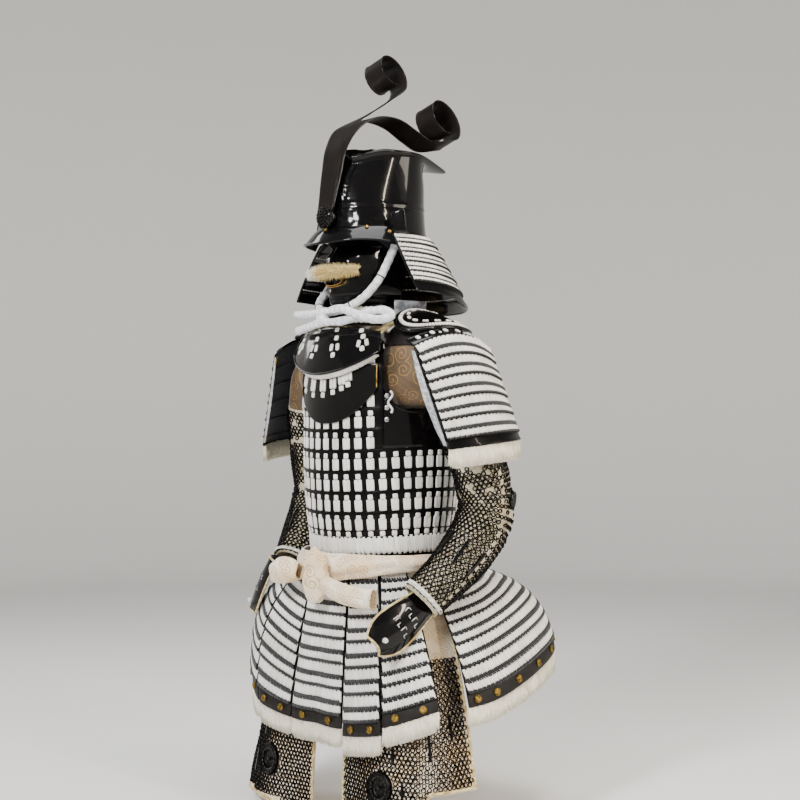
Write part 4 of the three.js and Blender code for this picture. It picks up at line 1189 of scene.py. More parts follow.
def mail_piece(name, surface, length, row_share, steps, keep, rng):
    """Links of mail over a surface, row by row, each row set half a link aside. They are drawn
    larger than real ones, so that each link shows."""
    pitch = sizes()["link_pitch"]
    rows = int(length / (pitch * row_share))
    parts = 100
    climbs = []
    for part in range(parts):
        ends = [(surface(u, part / parts), surface(u, (part + 1) / parts)) for u in (0.3, 0.7)]
        climbs.append(sum((b - a).length for a, b in ends))
    climbed, part, places = 0.0, 0, []
    for row in range(rows):
        goal = (row + 0.5) / rows * sum(climbs)
        while part < parts - 1 and climbed + climbs[part] < goal:
            climbed, part = climbed + climbs[part], part + 1
        v = (part + clamp((goal - climbed) / climbs[part])) / parts
        count = max(1, round(span(surface, v, steps) / pitch))
        for k in range(count):
            u = (k + (0.5 if row % 2 else 0.0)) / count
            if not 0.004 < u < 0.996 or not keep(u, v):
                continue
            at = stand(surface, u, v, 0.9)
            tilt = Matrix.Rotation((0.25 if (k + row) % 2 else -0.25) + rng.uniform(-0.1, 0.1), 4, "X")
            turn = rng.uniform(-0.5, 0.5)
            size = pitch * rng.uniform(1.2, 1.32)
            places.append(sized(at @ tilt, size, size * 0.96, size, turn))
    strewn(name, [(ring_template(), places)], "mail", slot="mail")


def rivets(name, places, width, finish="gold", height=0.35):
    strewn(name, [(dome_template(3, 14, height), [sized(p, width, width, width) for p in places])], finish)


# Trunk ----------------------------------------------------------------------------------------


def spaced_blocks(name, angles, edges, rng):
    """Spaced lacing: in each plate a small square over a pair of tall braids."""
    square_room, pair_room = 12, 30
    tall_places, small_places = [], []
    for top, bottom in zip(edges, edges[1:]):
        height = top - bottom
        for angle in angles:
            surface = lambda u, v: trunk_point(angle + u * 10, top - v * height)
            if height > square_room:
                lift = LAME_STEP * (1 - square_room / height) - 0.4
                at = stand(surface, 0, min(square_room / height, 0.5), max(lift, 0.5))
                small_places.append(sized(at, 10.5, 10.5, 2.6, rng.uniform(-0.09, 0.09)))
            if height > pair_room:
                for side in (-1, 1):
                    at = stand(surface, side * 0.132, (height - 12.8) / height, 0.2)
                    lean = -side * 0.03 + rng.uniform(-0.02, 0.02)
                    tall_places.append(sized(at, 8.2, 23.5 * rng.uniform(0.96, 1.03), 3.1, lean))
    pairs = [(pad_template(1, 0.12), tall_places), (pad_template(1, 0.14), small_places)]
    strewn(name, pairs, "silk", slot="laced_trunk")


def trunk_plates(node_name, from_angle, to_angle, edges):
    top, bottom = edges[0], edges[-1] + 0.4
    shares = [clamp((z - top) / (bottom - top)) for z in edges]
    sheet(
        node_name + "_plates", trunk_surface(from_angle, to_angle, top, bottom), int((to_angle - from_angle) / 3),
        lame_rows(shares, True, 3), "plate", replaces=[node_name], wall=PLATE, soften=0.5,
    )


def build_trunk():
    rng = random.Random(11)
    joint = SIDE_JOINT_ANGLE - 0.2
    trunk_plates("chest_front", -CHEST_HALF_ANGLE, CHEST_HALF_ANGLE, CHEST_EDGES)
    trunk_plates("belly_front", -joint, joint, BELLY_EDGES)
    trunk_plates("chest_back", 180 - CHEST_HALF_ANGLE, 180 + CHEST_HALF_ANGLE, CHEST_EDGES)
    trunk_plates("belly_back", 360 - joint - 169.6, joint + 170, BELLY_EDGES)
    step = math.degrees(sizes()["column_pitch"] / 165)
    for name, middle, columns, limit, edges in (
        ("belly_front", 0, 10, 92, BELLY_EDGES),
        ("chest_front", 0, 4, 42, CHEST_EDGES),
        ("belly_back", 180, 10, 82, BELLY_EDGES),
        ("chest_back", 180, 4, 42, CHEST_EDGES),
    ):
        angles = [middle + k * step for k in range(-columns, columns + 1) if abs(k * step) < limit]
        spaced_blocks(name + "_lacing", angles, edges, rng)
    for name, middle in (("front", 0), ("back", 180)):
        rim = [trunk_point(middle + a, CHEST_EDGES[0] + 0.5, 1.5) for a in range(-45, 46, 5)]
        tubes(f"chest_{name}_rim", [rim], 3.2)

    def underarm(u, v):
        surface = trunk_surface(CHEST_HALF_ANGLE + 0.3, SIDE_JOINT_ANGLE - 3, ARMHOLE_FLOOR, -266.6)
        return surface(u, v) - UP * 30 * math.sin(math.pi * clamp(u)) * (1 - v)

    for side, sign in zip(SIDES, (1, -1)):
        surface = on_side(side, underarm)
        name = f"underarm_plate_{side}"
        sheet(name + "_shell", surface, 18, 10, replaces=[name], wall=PLATE, soften=0.6)
        tubes(name + "_rim", [[surface(k / 24, 0.0) for k in range(25)]], 3)
        hinge = [trunk_point(sign * SIDE_JOINT_ANGLE, z, 1.5) for z in range(-443, -262, 6)]
        tubes(f"side_hinge_{side}", [hinge], 2.2, "plate")
        spots = [stand(trunk_surface(0, sign * 90, -100, -300), 0.53, v, 3) for v in (0.3, 0.42, 0.54)]
        rivets(f"armhole_fitting_{side}", spots, 11, "silver")
        cord = [trunk_point(sign * (50 + 1.5 * math.sin(k)), -150 - k * 5, 4.5) for k in range(10)]
        tubes(f"armhole_cord_{side}", [smooth_line(cord, 30)], 2.4, "cord", slot="cord")

    waist = lambda u, v: trunk_point(u * 360, lerp(-447.4, WAIST_BOTTOM, v))
    sheet("waist_lacing_band", waist, 112, 4, "plate", slot="laced_rows", replaces=["waist_lacing"], wall=PLATE)
    lacing_piece("waist_lacing_braids", waist, [0, 1], [(0.02, 0.62, 0.1, "silk")], 0, 12)


def build_straps():
    def strap(u, v):
        y = lerp(-122, 122, v)
        return Vector((87 + (u - 0.5) * 54, y, lerp(3, -42, abs(y / 122) ** 2.4)))

    for side in SIDES:
        surface = on_side(side, strap)
        name = f"shoulder_strap_{side}"
        sheet(name + "_plate", surface, 6, 36, replaces=[name], wall=PLATE, lining="piping", soften=0.5)
        edges = [[surface(u, k / 30) for k in range(31)] for u in (0.0, 1.0)]
        tubes(name + "_edges", edges, 2.4, "piping", slot="collar_cloth")


# Throat ---------------------------------------------------------------------------------------


def build_throat():
    def collar(u, v):
        a = math.radians(lerp(62, 298, u))
        out = 8 * (1 - v) + 1.2 * noise.noise(Vector((u * 14, v * 3, 2)))
        return Vector(((97 + out) * math.sin(a), -(84 + out) * math.cos(a), lerp(46, 8, v)))

    piece = sheet(
        "collar_cloth", collar, 72, 12, "collar", (300, 38), slot="collar_cloth", replaces=["collar"], wall=PLATE,
        soften=0.8,
    )
    upper_rows = [0, 0.5, 1]
    sheet(
        "throat_upper_plates", throat_upper_point, 48, lame_rows(upper_rows), replaces=["throat_guard_upper"],
        wall=PLATE, soften=0.5,
    )
    lacing_piece("throat_upper_braids", throat_upper_point, upper_rows, [(0.3, 0.75, 0.3, "silk")], 3, 21)
    sheet(
        "throat_lower_plate", throat_lower_point, 56, 20, replaces=["throat_guard_lower"], wall=PLATE, soften=0.8
    )
    tubes("throat_lower_rim", [hem_line(throat_lower_point, 0, 0.02, 0.99, 24, 0.4)], 2.1)
    rng = random.Random(22)
    places = []
    # place down the plate, width and height of each braid, and how far to each side it stands
    rows = ((0.07, 10, 9, (-0.02,)), (0.25, 10, 10, (0,)), (0.45, 8, 15, (-0.031, 0.031)), (0.62, 10, 11, (0,)))
    for angle in (-36, -12, 12, 36):
        for v, wide, tall, shifts in rows:
            for shift in shifts:
                at = stand(throat_lower_point, (angle + 48) / 96 + shift, v)
                places.append(sized(at, wide, tall, 2.8, rng.uniform(-0.2, 0.2)))

    def hanger(u, v):
        """The strip of lacing from the lower throat guard in to the bib."""
        under = throat_lower_point(u, 0.97)
        return under.lerp(trunk_point(lerp(-40, 42, u), under.z - 13, 12), v)

    spots, pitch = even_places(hanger, 0.5, 6.2, 6)
    for u in spots:
        places.append(sized(stand(hanger, u, 0.5), pitch * 0.8, 15, 3.4, 0.55 + rng.uniform(-0.1, 0.1)))
    sheet("throat_hanger", hanger, 40, 3, "plate", wall=1)
    for angle in (-24, -12, -1, 8.2, 15.3, 20.3):
        u = (angle + 37) / 78
        rise = 0.03 * (angle + 6) ** 2
        share = lambda z: (-92 - z - rise) / (-92 - bib_hem(u))
        for side in (-1, 1):
            places.append(sized(stand(bib_point, u + side * 0.0185, share(-131)), 8, 29, 3.2, -side * 0.03))
        places.append(sized(stand(bib_point, u, share(-153)), 11, 11, 2.6, rng.uniform(-0.12, 0.12)))
    strewn("throat_braids", [(pad_template(1, 0.14), places)], "silk", slot="laced_trunk")
    sheet("throat_bib_plate", bib_point, 48, 20, replaces=["throat_bib"], wall=PLATE, soften=0.8)
    tubes("throat_bib_edge", [edge_line(bib_point, [(0.995, 0.02), (0.995, 0.96)], 20, 0.3)], 1.5, "gold")


def build_wings():
    for side, sign in zip(SIDES, (1, -1)):
        name = f"shoulder_wing_{side}"
        bm = grid(64, 10)
        put_on(bm, lambda u, v: wing_point(u, v, sign))
        joined(bm)
        if sum(f.normal.z for f in bm.faces) < 0:
            bmesh.ops.reverse_faces(bm, faces=bm.faces)
        finish_mesh(name + "_plate", bm, "plate", replaces=[name], wall=PLATE, lining="lining")
        rim = [wing_point(k / 72, 1.0, sign) - UP * 1.5 for k in range(72)]
        tubes(name + "_rim", [rim], 4.2, looped=True)
        places = []
        # The outer ring of braids is whole, and the inner one is in pairs.
        for share, width, tall, kept in ((0.86, 6.4, 9, 4), (0.66, 6.0, 6, 2)):
            count = int(TAU * 76 * share / width)
            for k in range(count):
                if k % 4 >= kept:
                    continue
                turn = (k + 0.5) / count
                point = wing_point(turn, share, sign)
                radial = (wing_point(turn, share + 0.02, sign) - wing_point(turn, share - 0.02, sign)).normalized()
                around = (wing_point(turn + 0.01, share, sign) - point).normalized()
                out = around.cross(radial)
                out = -out if out.z < 0 else out
                places.append(sized(placed(radial.cross(out), radial, out, point), width, tall, 3.2, 0.35))
        strewn(name + "_braids", [(pad_template(), places)], "silk", slot="laced_rows")


# Helmet ---------------------------------------------------------------------------------------


def bowl_relief(angle, z):
    """Folds of the tall cap: a band line, a slanting crease behind the prow and fine puckers."""
    relief = 1.6 * bump(z, 246, 2.2) - 0.9 * bump(z, 241, 2.0)
    degrees = abs(math.degrees(angle))
    share = clamp((z - 250) / 100)
    crease = lerp(15, 29, share)
    across = (degrees - crease) * 1.75
    fade = smoothstep(z, 250, 262) * (1 - smoothstep(z, 352, 362))
    folds = 4.2 * bump(across, 0, 3.2) - 2.4 * bump(across, 6.5, 2.6) + 1.7 * bump(across, 11.5, 2.6)
    relief += folds * fade
    relief += 0.9 * bump(across, 0, 16) * math.sin(z * 0.9 + degrees * 0.2) * fade
    front = smoothstep(-degrees, -115, -40)
    puckers = noise.noise(Vector((math.sin(angle) * 9, math.cos(angle) * 9, z / 9)))
    relief += 1.1 * front * puckers * (1 - smoothstep(z, 236, 256))
    relief += 2.0 * bump(z, 359, 3.0)
    return relief


def build_bowl():
    heights = [185 + k * 4 for k in range(44)] + [359, 361, 363, 365, 367, 369]

    def surface(u, v):
        angle = (u - 0.5) * TAU
        row = round(v * (len(heights) + 5))
        index = min(row, len(heights) - 1)
        z = heights[index]
        point = helmet_point(angle, [z] + between(HELMET, z))
        turned = abs(math.degrees(angle))
        notch = 13 * smoothstep(turned, 10, 27) * (1 - smoothstep(turned, 29, 80)) * smoothstep(z, 300, 362)
        outward = (point - Vector((0, HELMET_AXIS_Y, z))).normalized()
        point += outward * bowl_relief(angle, z)
        point.z -= notch
        top = row - (len(heights) - 1)
        if top > 0:
            share = clamp(top / 6)
            crown_z = HELMET_TOP + 4 * math.sin(share * math.pi / 2)
            point = point.lerp(Vector((0, HELMET_AXIS_Y, lerp(point.z, crown_z, share))), share)
        return point

    bm = grid(144, len(heights) + 5)
    put_on(bm, surface)
    joined(bm)
    finish_mesh("helmet_bowl_shell", bm, replaces=["helmet_bowl"], wall=SHELL, lining="lining")

    def inside(u, v):
        point = helmet_point(u * TAU, HELMET[0])
        centre = Vector((0, HELMET_AXIS_Y, point.z))
        in_front = smoothstep(-(point - centre).normalized().y, 0.2, 0.7)
        point = centre + (point - centre) * (lerp(0.9, 0.82, v) + 0.01 * math.sin(u * 90) * v)
        return Vector((point.x, point.y, lerp(206, lerp(150, 174, in_front), v)))

    hood = sheet(
        "helmet_lining_cloth", inside, 96, 10, "lining", (560, 50), seamed=True, slot="brocade", wall=CLOTH
    )
    rim = [helmet_point(k / 90 * TAU, HELMET[0]) + UP for k in range(90)]
    tubes("helmet_bowl_rim", [rim], 2.4, looped=True)


def build_peak():
    puckered = lambda u, v: peak_point(u, v) + UP * 0.8 * noise.noise(Vector((u * 12, v * 3, 7)))
    sheet("helmet_peak_plate", puckered, 56, 14, replaces=["helmet_peak"], wall=SHELL, soften=0.6)
    tubes("helmet_peak_rim", [[peak_point(k / 48, 1.0) for k in range(49)]], 2.6)
    rivets("helmet_peak_rivets", [stand(peak_point, u, 0.22, 0.2) for u in (0.16, 0.5, 0.84)], 8, height=0.5)

    def turnback(u, v):
        ahead = 1 - u
        x = lerp(139, 120, ahead * (1 - 0.35 * v)) + 3 * math.sin(math.pi * clamp(v)) + 1.5 * math.sin(ahead * 6)
        return Vector((x, lerp(-56, -76, ahead) + 6 * (v - 0.5), lerp(232 - 10 * ahead, 184, v)))

    for side, sign in zip(SIDES, (1, -1)):
        name = f"turnback_{side}"
        sheet(name + "_blade", on_side(side, turnback), 8, 16, replaces=[name], wall=SHELL, soften=0.7)
        spot = stand(lambda u, v: about_helmet(lerp(20, 120, u) * sign, 122, lerp(210, 170, v)), 0.46, 0.62)
        rivets(name + "_rivet", [spot], 9, height=0.5)


def build_neck_guard():
    sheet(
        "neck_guard_plates", neck_guard_point, 96, lame_rows(NECK_GUARD_EDGES, False, 3), "plate",
        replaces=["neck_guard"], wall=PLATE, lining="lacquer", soften=0.5,
    )
    bands = [
        (0.04, 0.45, 0.08, "silk"),
        (0.4, 0.6, 0.5, "navy"),
        (0.56, 0.9, 0.1, "silk"),
        # Painted shade: this last row of blue-black braids, along each plate's lower edge, is a dark stripe that
        # stands for the shadow in the gap under that edge.
        (0.86, 0.99, 0.5, "navy"),
    ]
    lacing_piece("neck_guard_braids", neck_guard_point, NECK_GUARD_EDGES[:-1], bands, 4, 31)
    places = []
    for v in (0.24, 0.42, 0.6, 0.78):
        for u in even_places(neck_guard_point, v, 9)[0]:
            at = stand(neck_guard_point, u, v, -PLATE + 0.3) @ Matrix.Rotation(math.pi, 4, "Y")
            places.append(sized(at, 4.5, 2.2, 1.4))
    strewn("neck_guard_stitches", [(pad_template(), places)], "silk", slot="laced_rows")
    tubes("neck_guard_rim", [hem_line(neck_guard_point, 0.002, 0.05, 0.995, 40, 0.6)], 2.3)


# Crest ----------------------------------------------------------------------------------------


CURL_TILT = math.radians(21)  # how far the curls lean to one side


def frond(name, stem, curl, beside, behind):
    (x, y, z), radius, start_angle, end_angle = curl
    plane = math.radians(CURL_PLANE)
    away = Vector((math.cos(plane), math.sin(plane), 0))
    round_points = []
    across_end = Vector((away.y, -away.x, 0)) * math.cos(CURL_TILT) + Vector((0, 0, math.sin(CURL_TILT)))
    upright = away.cross(across_end) * -1
    for k in range(13):
        a = math.radians(lerp(start_angle, end_angle + 62, k / 12))
        reach = radius - (CURL_SHRINK + 8) * k / 12
        round_points.append(Vector((x, y, z)) + away * reach * math.cos(a) + upright * reach * math.sin(a))
    steps = 110
    line = smooth_line(list(stem) + round_points, steps)

    def surface(u, v):
        place = clamp(v)
        index = min(int(place * steps), steps - 1)
        point = line[index].lerp(line[index + 1], place * steps - index)
        point += (line[index + 1] - line[index]).normalized() * (v - place) * 900
        width = lerp(lerp(40, 47, smoothstep(v, 0, 0.15)), 49, smoothstep(v, 0.3, 0.7))
        end = 1 - clamp((v - 0.985) / 0.015) ** 2 * 0.25
        across = Vector((0.99, 0.14, 0)).lerp(across_end, smoothstep(v, 0.25, 0.5)).normalized()
        shift = Vector(((1 - smoothstep(v, 0.12, 0.4)) * beside, behind * (1 - smoothstep(v, 0.3, 0.5)), 0))
        return point + across * (u - 0.5) * width * end + shift

    sheet(name + "_ribbon", surface, 8, steps, "frond", replaces=[name], wall=2, soften=0.5)
    edges = [[surface(u, k / 100) for k in range(101)] for u in (0.0, 1.0)]
    tubes(name + "_edges", edges, 1.2, around=6)


def build_crest():
    frond("crest_frond_tall", TALL_STEM, TALL_CURL, 15, 0)
    frond("crest_frond_low", LOW_STEM, LOW_CURL, -13, 4)
    middle, radius, depth = Vector((0, -151, 219)), 24, 14
    bm = bmesh.new()
    bmesh.ops.create_uvsphere(bm, u_segments=40, v_segments=24, radius=1)
    bmesh.ops.scale(bm, vec=(radius, depth, radius), verts=bm.verts)
    bmesh.ops.translate(bm, vec=middle, verts=bm.verts)
    places = []
    for ring, count in ((0, 1), (0.28, 6), (0.54, 12), (0.76, 18), (0.93, 22)):
        rise = math.sqrt(1 - ring * ring)
        for k in range(count):
            a = k / count * TAU + ring
            x, z = ring * math.cos(a), ring * math.sin(a)
            out = Vector((x / radius, -rise / depth, z / radius)).normalized()
            at = Matrix.Translation(middle + Vector((radius * x, -depth * rise, radius * z)))
            places.append(sized(at @ out.to_track_quat("Z", "Y").to_matrix().to_4x4(), 5.6, 5.6, 4.5))
    scatter(bm, dome_template(2, 8, 0.9), places)
    finish_mesh("crest_holder_boss", bm, replaces=["crest_holder"])


# Mask and cords -------------------------------------------------------------------------------


def mask_relief(angle, z):
    """A calm half mask: nose, cheeks, lips round an open mouth and a rounded chin."""
    across = abs(angle)
    ridge = smoothstep(z, 116, 123) * (1 - 0.55 * smoothstep(z, 128, 160))
    nose = 17 * bump(across, 0, 9 + 3 * bump(z, 124, 12)) * ridge
    wings = 5 * bump(across, 11, 4.5) * bump(z, 124, 7)
    cheeks = 7 * bump(across, 38, 17) * bump(z, 138, 17)
    folds = -3.0 * bump(across - (130 - z) * 0.34, 22, 3.2) * bump(z, 104, 24)
    ring = math.hypot(across / 17.0, (z - 86) / 9.5)
    lips = 5.5 * bump(ring, 1.05, 0.26)
    mouth = -7.0 * (1 - smoothstep(ring, 0.55, 0.95))
    chin = 7 * bump(across, 0, 20) * bump(z, 58, 12)
    brow = 2.5 * bump(z, 160, 3)
    jaw = 2.2 * bump(z, 42, 3.5)
    muzzle = 7 * bump(across, 0, 34) * bump(z, 92, 30)
    return nose + wings + cheeks + folds + lips + mouth + chin + brow + jaw + muzzle


def build_mask():
    def on_face(angle, z, out=0.0):
        point = mask_point(angle, z)
        outward = Vector((point.x, point.y - MASK_AXIS_Y, 0)).normalized()
        return point + outward * (mask_relief(angle, z) + out)

    surface = lambda u, v: on_face(lerp(-MASK_HALF_ANGLE, MASK_HALF_ANGLE, u), lerp(162, 40, v))
    sheet("mask_shell", surface, 112, 66, replaces=["mask"], wall=SHELL, lining="lining")
    turns = [k / 40 * TAU for k in range(40)]
    half_width, middle_z, half_height = 17, 86, 9.5

    def lip(scale):
        across, up = half_width * scale, half_height * scale
        return [on_face(across * math.cos(t), middle_z + up * math.sin(t), 0.8) for t in turns]

    tubes("mask_lip_lines", [lip(0.98), lip(1.3)], 0.9, "lip", looped=True)
    rng = random.Random(41)
    places = []
    core = smooth_line([(x - 3, -145 + 16 * (x / 82) ** 2, 105) for x in range(-78, 79, 6)], 60)
    for _ in range(3200):
        share = rng.uniform(-1, 1)
        a = rng.uniform(-2.1, 2.1)
        outward = (0.9 if share > 0 else -0.9) * max(0, abs(share) - 0.75) * 3
        fall = Vector((outward, -math.cos(a), math.sin(a) * 1.15 - 0.22))
        fall = (fall + Vector([rng.uniform(-0.5, 0.5) for _ in range(3)])).normalized()
        facing = fall.orthogonal().normalized()
        axes = placed(fall.cross(facing), -fall, facing, core[round((share + 1) * 30)] + fall * 3)
        places.append(sized(axes, rng.uniform(0.9, 2.1), rng.uniform(6, 18) * (1 - 0.35 * share * share), 0.9))
    bm = bmesh.new()
    scatter(bm, blade_template(), places)
    add_tube(bm, core, 4.5)
    finish_mesh("moustache_hair", bm, "whisker", slot="whisker", replaces=["moustache"])


def corded(name, line, radius, section, node_name):
    """A soft cord round a line, with a ball where it is tied if it is the bow."""
    bm = bmesh.new()
    bm.loops.layers.uv.new("UVMap")
    add_tube(bm, line, radius, 16, section=section)
    if node_name == "chin_bow":
        bmesh.ops.create_uvsphere(bm, u_segments=20, v_segments=14, radius=1)
        for vert in [v for v in bm.verts if v.co.length < 1.01]:
            lump = 1 + 0.12 * noise.noise(vert.co * 2.4 + Vector((4, 0, 0)))
            vert.co = Vector((vert.co.x * 15 * lump, -163 + vert.co.y * 10 * lump, 9 + vert.co.z * 17 * lump))
    return finish_mesh(name, bm, "cord", slot="cord", replaces=[node_name])


def build_cords():
    twist = lambda turn, place, turns: math.cos(TAU * (2 * turn + turns * place))
    puckers = lambda turn, place, seed: noise.noise(Vector((place, turn, seed)))
    left = [Vector(p) for p in CHIN_CORD]
    right = [flipped(p) + Vector((9, 16, 0)) * smoothstep(p.z, 30, 90) for p in reversed(left[:-1])]
    path = smooth_line(left + right, 150)
    rope = lambda place, turn: 1 + 0.05 * twist(turn, place, 26) + 0.03 * puckers(turn * 4, place * 60, 3)
    cord = corded("chin_cord_rope", path, 8.5, rope, "chin_cord")
    ties = []
    for place in (0.17, 0.37, 0.63, 0.83):
        point, _, side, upright = line_frames(path)[int(place * 150)]
        turns = [k / 20 * TAU for k in range(20)]
        ties.append([point + (side * math.cos(a) + upright * math.sin(a)) * 8.6 for a in turns])
    tie_piece = tubes("chin_cord_ties", ties, 1.5, "navy", slot="cord", looped=True, around=6)
    over = [(56, -157, 25), (84, -156, 17), (112, -143, 5), (143, -126, 0), (161, -112, 8)]
    under = [(146, -117, 18), (112, -128, 17), (84, -142, 7), (52, -157, -1)]

    def soft(place, turn):
        """The bow's section, which is narrower where its loops bend round."""
        bends = 0.22 * bump(place, 0.235, 0.02) + 0.2 * bump(place, 0.765, 0.02)
        return 1 + 0.07 * puckers(turn * 5, place * 34, 8) + 0.04 * twist(turn, place, 18) - bends

    bow = corded("chin_bow_loops", smooth_line(BOW[:3] + over + under + BOW[-3:], 170), 8.7, soft, "chin_bow")
    running(path)[-1] * MM


# Shoulder guards ------------------------------------------------------------------------------


def build_shoulders():
    edges = [0, 0.184, 0.368, 0.552, 0.736, 0.92, 1]

    def facing(u, v):
        edge = shoulder_point(0, lerp(0.04, 0.97, v))
        wide = 19 * (0.45 + 0.55 * math.sin(math.pi * clamp(v))) * (1 - u)
        return edge + Vector((-0.86 * wide - 1, -0.3 * wide - 0.5, 1.2 * math.sin(v * 21) * (1 - u)))

    def crown(u, v):
        height = 5 + 24 * (1 - v)
        rise = 0.42 * height + 1.5 * math.sin(math.pi * clamp(v))
        return shoulder_point(u, 0) + Vector((-0.9 * height, 0, rise))

    for side in SIDES:
        surface = on_side(side, shoulder_point)
        name = f"shoulder_guard_{side}"
        sheet(
            name + "_plates", surface, 40, lame_rows(edges, False, 3), "plate", slot="laced_rows", replaces=[name],
            wall=PLATE, lining="lining", soften=0.5, sharp=38,
        )
        lacing_piece(name + "_lacing", surface, edges[:-1], CLOSE_LACING, 5, 51)
        tubes(name + "_rim", [hem_line(surface, 0.004, 0.01, 0.995, 40, -1.2)], 2.4)
        trims = [[stand(surface, u, k / 30, -PLATE - 0.6).translation for k in range(1, 30)] for u in (0.02, 0.98)]
        tubes(name + "_trim", trims, 1.3, "gold", around=6)
        strip = sheet(
            name + "_facing", on_side(side, facing), 4, 48, "figured", (19, 190), slot="collar_cloth", wall=1.2
        )
        fur_piece(f"shoulder_fringe_{side}", surface, 52, 0.97, rise=1)
        name = f"shoulder_crown_{side}"
        face = on_side(side, crown)
        sheet(name + "_plate", face, 32, 6, replaces=[name], wall=PLATE, soften=0.7)
        tubes(name + "_rim", [edge_line(face, [(0.01, 0.98), (0.01, 0.03), (0.99, 0.03), (0.99, 0.98)], 30)], 2)
        studs = [sized(stand(face, u, 0.45), 8, 11, 2.6) for u in (0.1, 0.26, 0.42, 0.58, 0.74, 0.9)]
        studs += [sized(stand(face, u, 0.62), 5, 5, 1.6) for u in (0.18, 0.34, 0.66, 0.82)]
        strewn(name + "_studs", [(pad_template(2), studs)], "silk", slot="laced_rows")


# Sleeves and hand guards ----------------------------------------------------------------------

SLEEVE_LENGTH = 560
SLEEVE_GIRTH = 335
SHOULDER_BALL = Vector((136, -13, -98))


def ring_noise(u, radius, row):
    """Noise that meets itself after one turn u round a piece."""
    return noise.noise(Vector((math.cos(u * TAU) * radius, math.sin(u * TAU) * radius, row)))


def shoulder_cap(u, v):
    """The cloth that rounds the shoulder inside the armhole, on the left."""
    a, b = math.radians(lerp(-96, 96, u)), math.radians(lerp(86, -78, v))
    ripple = 1 + 0.05 * noise.noise(Vector((u * 4, v * 5, 3))) + 0.022 * math.sin(v * 19 + 13 * u)
    level = Vector((86 * math.sin(a) * ripple, -76 * math.cos(a) * ripple, 0)) * math.cos(b) ** 0.6
    return SHOULDER_BALL + level + Vector((6 * math.sin(b), 0, (99 if b > 0 else 84) * math.sin(b)))


def shoulder_pad(u, v):
    point = shoulder_cap(lerp(-0.35, 0.85, u), lerp(0.02, 0.36, v))
    return SHOULDER_BALL + (point - SHOULDER_BALL) * 1.03


def build_sleeve(side, table):
    def draped(u, v):
        skew = 0.02 * math.sin(u * TAU + 1)
        folds = 5 * bump(v + skew, 0.665, 0.013) + 4 * bump(v - skew, 0.705, 0.011)
        folds += 4 * bump(v + skew, 0.615, 0.013)
        sag = 2.6 * ring_noise(u, 1.6, v * 9) - folds * (0.6 + 0.4 * math.cos(u * TAU * 2)) - 1
        return sleeve_point(table, u, v, sag)

    rng = random.Random(61)
    surface = on_side(side, draped)
    around = lambda u, v: surface(u % 1.0, v)
    name = f"sleeve_{side}"
    for part, first, last, rows, finish, replaced in (
        ("shoulder", 0.0, 0.27, 18, "armpit", ()), ("arm", 0.27, 1.0, 56, "under_mail", [name]),
    ):
        share = last - first
        piece = sheet(
            f"{name}_{part}_cloth", lambda u, v: surface(u, lerp(first, last, v)), 52, rows, finish,
            (SLEEVE_GIRTH, SLEEVE_LENGTH * share), seamed=True, slot="mail", replaces=replaced, wall=CLOTH,
        )
    cap = on_side(side, lambda u, v: shoulder_cap(u * 1.875 - 0.4375, v))
    crown = sheet(f"{name}_crown_cloth", cap, 72, 36, "armpit", (330, 200), seamed=True, slot="mail", wall=CLOTH)
    sheet(f"{name}_shoulder_pad", on_side(side, shoulder_pad), 40, 16, "leather", (200, 70), wall=2)

    mail = lambda u, v: surface(u, lerp(0.28, 0.992, v))
    keep = lambda u, v: noise.noise(mail(u, v) * 0.045) < 0.36 or v > 0.6
    mail_piece(name + "_mail", mail, SLEEVE_LENGTH * 0.712, 0.8, 24, keep, rng)
    splints = []
    for place, tall, turns in ((0.85, 56, (-0.29, -0.16, -0.03, 0.1)), (0.47, 54, (0.0, 0.1))):
        for turn in turns:
            turn = turn % 1.0 if side == "left" else (1 - turn) % 1.0
            splints.append(sized(stand(around, turn, place, 1.2), 6.5, tall, 3.2))
    strewn(name + "_splints", [(pad_template(2), splints)])
    rivets(name + "_elbow", [stand(around, 0.12 if side == "left" else 0.88, 0.64, 0.2)], 40, "lacquer", 0.12)
    wrist = on_side(side, lambda u, v: sleeve_point(table, u, v, 3.4))
    width = 6
    sheet(
        name + "_tape_98", lambda u, v: wrist(u, 0.985 + (v - 0.5) * width / SLEEVE_LENGTH), 56, 2, "tape",
        (300, width), seamed=True, slot="cord", wall=1.2,
    )
    rim = [surface(k / 60, 0.002) for k in range(60)]
    tubes(name + "_binding", [rim], 2.6, "piping", slot="cord", looped=True)


def build_hand_guard(side, hand):
    def plate(u, v):
        """The guard's plate, which goes on straight over the wrist above its first row."""
        place = lerp(-0.24, 1, v)
        point = hand_guard_point(hand, 1 - u, max(place, 0))
        slope = hand_guard_point(hand, 1 - u, 0) - hand_guard_point(hand, 1 - u, 0.05)
        return point + slope * max(-place, 0) / 0.05

    guard = on_side(side, plate)
    name = f"hand_guard_{side}"
    sheet(name + "_plate", guard, 24, 26, replaces=[name], wall=PLATE, lining="lining", soften=0.5)
    edge = edge_line(guard, [(0.01, 0.02), (0.01, 0.985), (0.99, 0.985), (0.99, 0.02), (0.01, 0.02)], 24, 0.3)
    tubes(name + "_piping", [edge], 2.3, "piping", slot="cord")
    marks = []
    for v in (0.36, 0.56):
        for k in range(4):
            u, odd = 0.26 + 0.15 * k, k % 2
            marks.append(sized(stand(guard, u, v + 0.015 * odd, 0.1), 2.2, 14 - 4 * odd, 1.6))
            marks.append(sized(stand(guard, u + 0.04, v - 0.04 * (-1) ** k, 0.1), 7, 2.0, 1.4))
    strewn(name + "_marks", [(pad_template(), marks)], "silver")
    rivets(name + "_knob", [stand(guard, 0.5, 0.86)], 11, "cord", 0.9)


def build_sleeves():
    for side, table, hand in (("left", LEFT_SLEEVE, LEFT_HAND), ("right", RIGHT_SLEEVE, RIGHT_HAND)):
        build_sleeve(side, table)
        build_hand_guard(side, hand)


